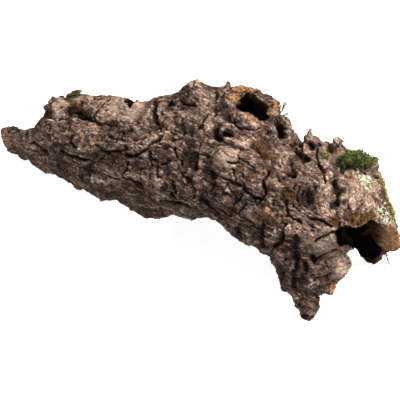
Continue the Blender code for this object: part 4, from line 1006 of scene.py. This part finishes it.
def clump(name, source, material, count, length, width, seed, spread_out=0.75, sprouts=(), up=0.25, shrink=0.0008, per_tuft=14, move=None, size=1.0):
    """Moss: the node's mound with leaves all over its open side, and a few long sprouts."""
    random = np.random.default_rng(seed)
    verts, tris = growth_meshes[source]
    mound = with_modifier(make_mesh("mound", verts, tris), "REMESH", mode="VOXEL", voxel_size=0.0009, adaptivity=0.0)
    mv, mt = read_mesh(mound), triangles_of(mound)
    mn = np.zeros(len(mv) * 3, np.float32)
    mound.vertex_normals.foreach_get("vector", mn)
    mn = mn.reshape(-1, 3).astype(float)
    mv = mv + mn * (0.0006 * noise3(mv * 1000, 3.5, seed) + 0.0003 * noise3(mv * 1000, 1.6, seed) - shrink)[:, None]
    mv = mv.mean(0) + (mv - mv.mean(0)) * size
    if move is not None:
        mv = mv + move
    tufts, axes = samples(mv, mt, int(count / per_tuft * 1.8), random)
    keep = np.array([bark_tree.ray_cast(Vector(p + w * 0.0002), Vector(w), 0.003)[0] is None for p, w in zip(tufts, axes)])
    tufts, axes = tufts[keep][: count // per_tuft], axes[keep][: count // per_tuft]
    m = len(tufts)
    axes = axes + random.normal(size=(m, 3)) * 0.45 * spread_out + np.array((0, 0, up))
    axes /= np.linalg.norm(axes, axis=1, keepdims=True)
    patch = 0.5 + 0.5 * noise3(tufts * 1000, 6.0, seed + 3)
    reach = length * (0.55 + 0.9 * random.random(m)) * (0.7 + 0.6 * patch)
    of = np.repeat(np.arange(m), per_tuft)
    n = len(of)
    climb = random.random(n)
    points = tufts[of] + axes[of] * (reach[of] * climb * 0.75)[:, None] - axes[of] * 0.0005
    ways = axes[of] * (0.5 + 0.5 * climb)[:, None] + random.normal(size=(n, 3)) * (0.75 - 0.35 * climb)[:, None]
    lengths = reach[of] * (0.45 + 0.35 * random.random(n))
    lv, lt, tips, own = leaves(points, ways, lengths, width * (0.7 + 0.6 * random.random(n)), random)
    # leaves low in a tuft and the mound under them take the dark root colour: partly painted shade between the tufts
    tips = np.clip(tips * 0.6 + np.repeat(climb, 7) * 0.5, 0, 1)
    own = np.clip(own * 0.35 + np.repeat((0.25 * random.random(m) + 0.5 * patch)[of], 7), 0, 1)
    blocks = [(mv, mt, np.zeros(len(mv)), np.full(len(mv), 0.0)), (lv, lt, tips, own)]
    for path, radii in sprouts:
        tv, tt = tube(path, radii, 5)
        blocks.append((np.array(tv), np.array(tt), np.full(len(tv), 0.9), np.full(len(tv), 0.7)))
    all_verts = np.concatenate([b[0] for b in blocks])
    starts = np.cumsum([0] + [len(b[0]) for b in blocks[:-1]])
    all_tris = np.concatenate([b[1] + s for b, s in zip(blocks, starts)])
    mesh = fast_mesh(name, all_verts, all_tris)
    set_attribute(mesh, "tip", np.concatenate([b[2] for b in blocks]))
    set_attribute(mesh, "own", np.concatenate([b[3] for b in blocks]))
    ob = show(name, mesh, material)
    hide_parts(source)
    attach(ob, "root")
    return ob


def flakes(name, source, material, count, size, seed):
    """Lichen: small lobed scales that stand off the bark, curled up at their edges."""
    random = np.random.default_rng(seed)
    verts, tris = growth_meshes[source]
    mound = with_modifier(make_mesh("mound", verts, tris), "REMESH", mode="VOXEL", voxel_size=0.0008, adaptivity=0.0)
    mv, mt = read_mesh(mound), triangles_of(mound)
    points, ways = samples(mv, mt, int(count * 1.8), random)
    keep = np.array([bark_tree.ray_cast(Vector(p + w * 0.0002), Vector(w), 0.002)[0] is None for p, w in zip(points, ways)])
    points, ways = points[keep][:count], ways[keep][:count]
    parts, tip, own = [], [], []
    sides = 11
    for p, w in zip(points, ways):
        spot, skin_way = bark_tree.find_nearest(Vector(p + random.normal(size=3) * 0.0042))[:2]
        p, w = np.array(spot) + np.array(skin_way) * 0.0003, np.array(skin_way)
        w = w + random.normal(size=3) * 0.45
        w /= np.linalg.norm(w)
        u = np.cross(w, random.normal(size=3))
        u /= np.linalg.norm(u)
        v = np.cross(w, u)
        r = size * (0.5 + random.random() * 0.8)
        turn = random.random() * 6.28
        ring = [r * (1 + 0.32 * math.sin(3 * a + turn) + 0.18 * math.sin(5 * a + 2 * turn)) for a in np.linspace(0, 2 * math.pi, sides, endpoint=False)]
        angles = np.linspace(0, 2 * math.pi, sides, endpoint=False)
        curl = random.random() * 0.45
        rim = np.array([p + (u * math.cos(a) + v * math.sin(a)) * q + w * (curl * q * (0.6 + 0.4 * math.sin(2 * a + turn))) for a, q in zip(angles, ring)])
        thick = 0.00022
        mesh_verts = np.concatenate([rim, rim - w * thick, [p + w * 0.0003, p - w * 0.0006]])
        faces = []
        for s in range(sides):
            t = (s + 1) % sides
            faces += [(2 * sides, s, t), (2 * sides + 1, sides + t, sides + s), (s, sides + s, sides + t), (s, sides + t, t)]
        parts.append((mesh_verts, faces))
        shade = random.random()
        tip.append(np.concatenate([np.full(sides, 1.0), np.full(sides, 0.5), [0.55, 0.2]]))
        own.append(np.full(2 * sides + 2, shade))
    v, f = joined(parts)
    mesh = fast_mesh(name, np.array(v), np.array(f))
    set_attribute(mesh, "tip", np.concatenate(tip))
    set_attribute(mesh, "own", np.concatenate(own))
    ob = show(name, mesh, material, smooth=False)
    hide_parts(source)
    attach(ob, "root")
    return ob


def twigs(name, source, material, seed, stems, radius, reach, forks=3, curl=0.5, aim=None, at=None, wander=0.45):
    """Thread lichen: branching threads that start inside the node's volume and spread from it."""
    random = np.random.default_rng(seed)
    verts, tris = growth_meshes[source]
    near = sorted(range(len(verts)), key=lambda i: bark_tree.find_nearest(Vector(verts[i]))[3])
    root = verts[near[: max(3, len(near) // 8)]].mean(0)
    far = verts[np.argmax(np.linalg.norm(verts - root, axis=1))]
    main = (far - root) if aim is None else np.array(aim, float)
    main = main / np.linalg.norm(main)
    root = np.array(bark_tree.find_nearest(Vector(root))[0])
    if at is not None:
        flat = in_view(bark_verts)
        d = np.hypot(flat[:, 0] - at[0], flat[:, 1] - at[1])
        root = bark_verts[np.argmax(np.where(d < d.min() + 1.0, flat[:, 2], -1e9))]
    parts = []

    def grow(start, way, length, thick, depth):
        steps = 7
        path, p, d = [start], start.copy(), way.copy()
        for k in range(steps):
            d = d + random.normal(size=3) * curl * 0.28
            d /= np.linalg.norm(d)
            p = p + d * length / steps
            p[2] = max(p[2], 0.0008)
            path.append(p.copy())
        radii = [thick * (1 - 0.45 * k / steps) for k in range(steps + 1)]
        parts.append(tube(path, radii, 5))
        if depth > 0:
            for _ in range(forks):
                k = random.integers(2, steps)
                side = d + random.normal(size=3) * 0.9
                side /= np.linalg.norm(side)
                grow(path[k].copy(), side, length * (0.35 + 0.35 * random.random()), thick * 0.7, depth - 1)

    for _ in range(stems):
        start = root + random.normal(size=3) * 0.0012
        way = main + random.normal(size=3) * wander
        grow(start, way / np.linalg.norm(way), reach * (0.6 + 0.5 * random.random()), radius, 2)
    v, f = joined(parts)
    mesh = fast_mesh(name, np.array(v), np.array(f))
    vv = read_mesh(mesh)
    away = np.linalg.norm(vv - root, axis=1)
    set_attribute(mesh, "tip", np.clip(away / away.max(), 0, 1) * 0.7 + 0.3)
    set_attribute(mesh, "own", np.clip(0.5 + 0.5 * noise3(vv * 1000, 4.0, seed), 0, 1))
    ob = show(name, mesh, material)
    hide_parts(source)
    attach(ob, "root")
    return ob


# ---------------------------------------------------------------- build
cork = cork_material()
bark_mesh = build_bark()
bark = show("bark_slab", bark_mesh, cork)
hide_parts("bark")
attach(bark, "root")
bark_verts, bark_tris = read_mesh(bark_mesh), triangles_of(bark_mesh)
bark_tree = BVHTree.FromPolygons([Vector(v) for v in bark_verts], [tuple(t) for t in bark_tris.tolist()])

green = growth_material("moss_green_look", rgb(7, 9, 3), rgb(34, 42, 13), rgb(98, 108, 42))
olive = growth_material("moss_olive_look", rgb(30, 26, 9), rgb(90, 78, 29), rgb(162, 146, 76))
brown = growth_material("moss_brown_look", rgb(11, 7, 3), rgb(46, 28, 12), rgb(122, 82, 42))
pale = growth_material("lichen_pale_look", rgb(36, 38, 28), rgb(104, 107, 87), rgb(184, 187, 165), rough=(0.75, 0.95))
thread = growth_material("lichen_thread_look", rgb(52, 54, 34), rgb(88, 88, 58), rgb(134, 134, 98), rough=(0.7, 0.9))


def sprout(x, y, dx, dy, seed):
    """A thin sprout from a picture place, towards another."""
    random = np.random.default_rng(seed)
    p = on_skin(x, y)
    if p is None:
        return None
    path = [p + (RIGHT * dx * t + DOWN * (dy * t + 1.2 * t * t)) * 0.001 + random.normal(size=3) * 0.0002 * t for t in np.linspace(0, 1, 6)]
    return path, [0.00028 * (1 - 0.6 * t) for t in np.linspace(0, 1, 6)]


mat_sprouts = [s for s in (sprout(383, 187, 5, 2, 1), sprout(384, 190, 5, -2, 2), sprout(377, 174, 4, -2, 3), sprout(390, 214, 4, -3, 4), sprout(388, 206, 4, 1, 5), sprout(379, 180, 3, 1, 6)) if s]
clump("moss_cushion_leaves", "moss_cushion", green, 5200, 0.0062, 0.00070, 101, up=0.15, spread_out=1.5, shrink=0.0036, per_tuft=16, size=0.82, move=DOWN * 0.0024 - RIGHT * 0.0028)
clump("moss_mat_rim_leaves", "moss_mat_rim", olive, 6200, 0.0032, 0.0008, 102, spread_out=1.4, sprouts=mat_sprouts, shrink=0.0020, move=-RIGHT * 0.0034)
clump("moss_patch_tip_leaves", "moss_patch_tip", olive, 1300, 0.0018, 0.0006, 103, spread_out=1.2, shrink=0.0024)
clump("moss_dry_hollow_leaves", "moss_dry_hollow", brown, 900, 0.0028, 0.0007, 104, spread_out=1.3, shrink=0.0008)
clump("moss_tuft_collar_leaves", "moss_tuft_collar", brown, 600, 0.0026, 0.0006, 105, spread_out=1.0, shrink=0.0010)
clump("moss_dry_saddle_leaves", "moss_dry_saddle", brown, 1700, 0.0026, 0.0007, 106, spread_out=1.4, up=0.1, shrink=0.0008)
clump("moss_dry_pocket_leaves", "moss_dry_pocket", brown, 800, 0.0026, 0.0007, 107, spread_out=1.4, up=0.1, shrink=0.0007)
clump("moss_dry_chip_leaves", "moss_dry_chip", brown, 800, 0.0026, 0.0007, 108, spread_out=1.4, up=0.1, shrink=0.0007)
clump("moss_dry_mouth_leaves", "moss_dry_mouth", brown, 2400, 0.0030, 0.0007, 109, spread_out=1.3, up=0.1, shrink=0.0008)
clump("moss_patch_knob_leaves", "moss_patch_knob", olive, 600, 0.0020, 0.0006, 110, spread_out=1.0, shrink=0.0010)
flakes("lichen_crust_hood_lobes", "lichen_crust_hood", pale, 64, 0.0015, 201)
flakes("lichen_crust_rim_lobes", "lichen_crust_rim", pale, 110, 0.0011, 202)
twigs("lichen_wisp_collar_threads", "lichen_wisp_collar", thread, 301, 10, 0.00062, 0.014, aim=RIGHT * 0.75 - DOWN * 0.65, at=(280, 117))
twigs("lichen_wisp_knob_threads", "lichen_wisp_knob", thread, 302, 6, 0.00042, 0.008, aim=RIGHT * 0.4 - DOWN * 0.7, at=(338, 144))
twigs("lichen_thread_mouth_threads", "lichen_thread_mouth", thread, 303, 3, 0.00070, 0.018, forks=1, curl=0.42, wander=0.10, aim=RIGHT * 0.2 + DOWN * 0.9, at=(386, 253))

# ---------------------------------------------------------------- studio
floor_mesh = make_mesh("studio_floor", [(-12, -12, 0), (12, -12, 0), (12, 12, 0), (-12, 12, 0)], [(0, 1, 2, 3)])
floor_material, floor_tree, floor_shader = new_material("studio_floor_look")
floor_shader.inputs["Base Color"].default_value = (0.58, 0.58, 0.58, 1)
floor_shader.inputs["Roughness"].default_value = 0.9
floor_shader.inputs["Specular IOR Level"].default_value = 0.0
floor_shader.inputs["Emission Color"].default_value = (1.0, 1.0, 1.0, 1)
floor_shader.inputs["Emission Strength"].default_value = 0.86
floor = show("studio_floor", floor_mesh, floor_material, smooth=False)
floor.location.z = -0.0002

world = bpy.data.worlds.new("studio")
scene.world = world
world.use_nodes = True
background = next(n for n in world.node_tree.nodes if n.type == "BACKGROUND")
background.inputs["Color"].default_value = (1.0, 1.0, 1.0, 1)
background.inputs["Strength"].default_value = 0.70


def softbox(name, way, away, size, power, colour=(1.0, 0.97, 0.93)):
    lamp = bpy.data.lights.new(name, "AREA")
    lamp.shape = "DISK"
    lamp.size = size
    lamp.energy = power
    lamp.color = colour
    ob = bpy.data.objects.new(name, lamp)
    scene.collection.objects.link(ob)
    way = Vector(way).normalized()
    ob.location = way * away + Vector((0.0, 0.0, 0.06))
    ob.rotation_mode = "QUATERNION"
    ob.rotation_quaternion = way.to_track_quat("Z", "Y")
    return ob


key_way = Vector(RIGHT) * 0.75 + Vector((0, 0, 1)) * 0.80 + Vector(TOWARDS) * 0.15
softbox("key", key_way, 2.6, 0.8, 250.0)

camera = bpy.data.cameras.new("camera")
camera.sensor_width = 36.0
camera.lens = 36.0 * CAMERA_AWAY / 0.4
camera.clip_start, camera.clip_end = 0.1, 60.0
view = bpy.data.objects.new("camera", camera)
scene.collection.objects.link(view)
view.location = Vector(TARGET) + Vector(TOWARDS) * CAMERA_AWAY
view.rotation_mode = "QUATERNION"
view.rotation_quaternion = Vector(TOWARDS).to_track_quat("Z", "Y")
scene.camera = view
scene.view_settings.view_transform = "Standard"
scene.view_settings.look = "None"
scene.view_settings.exposure = 0.0
scene.view_settings.gamma = 1.0
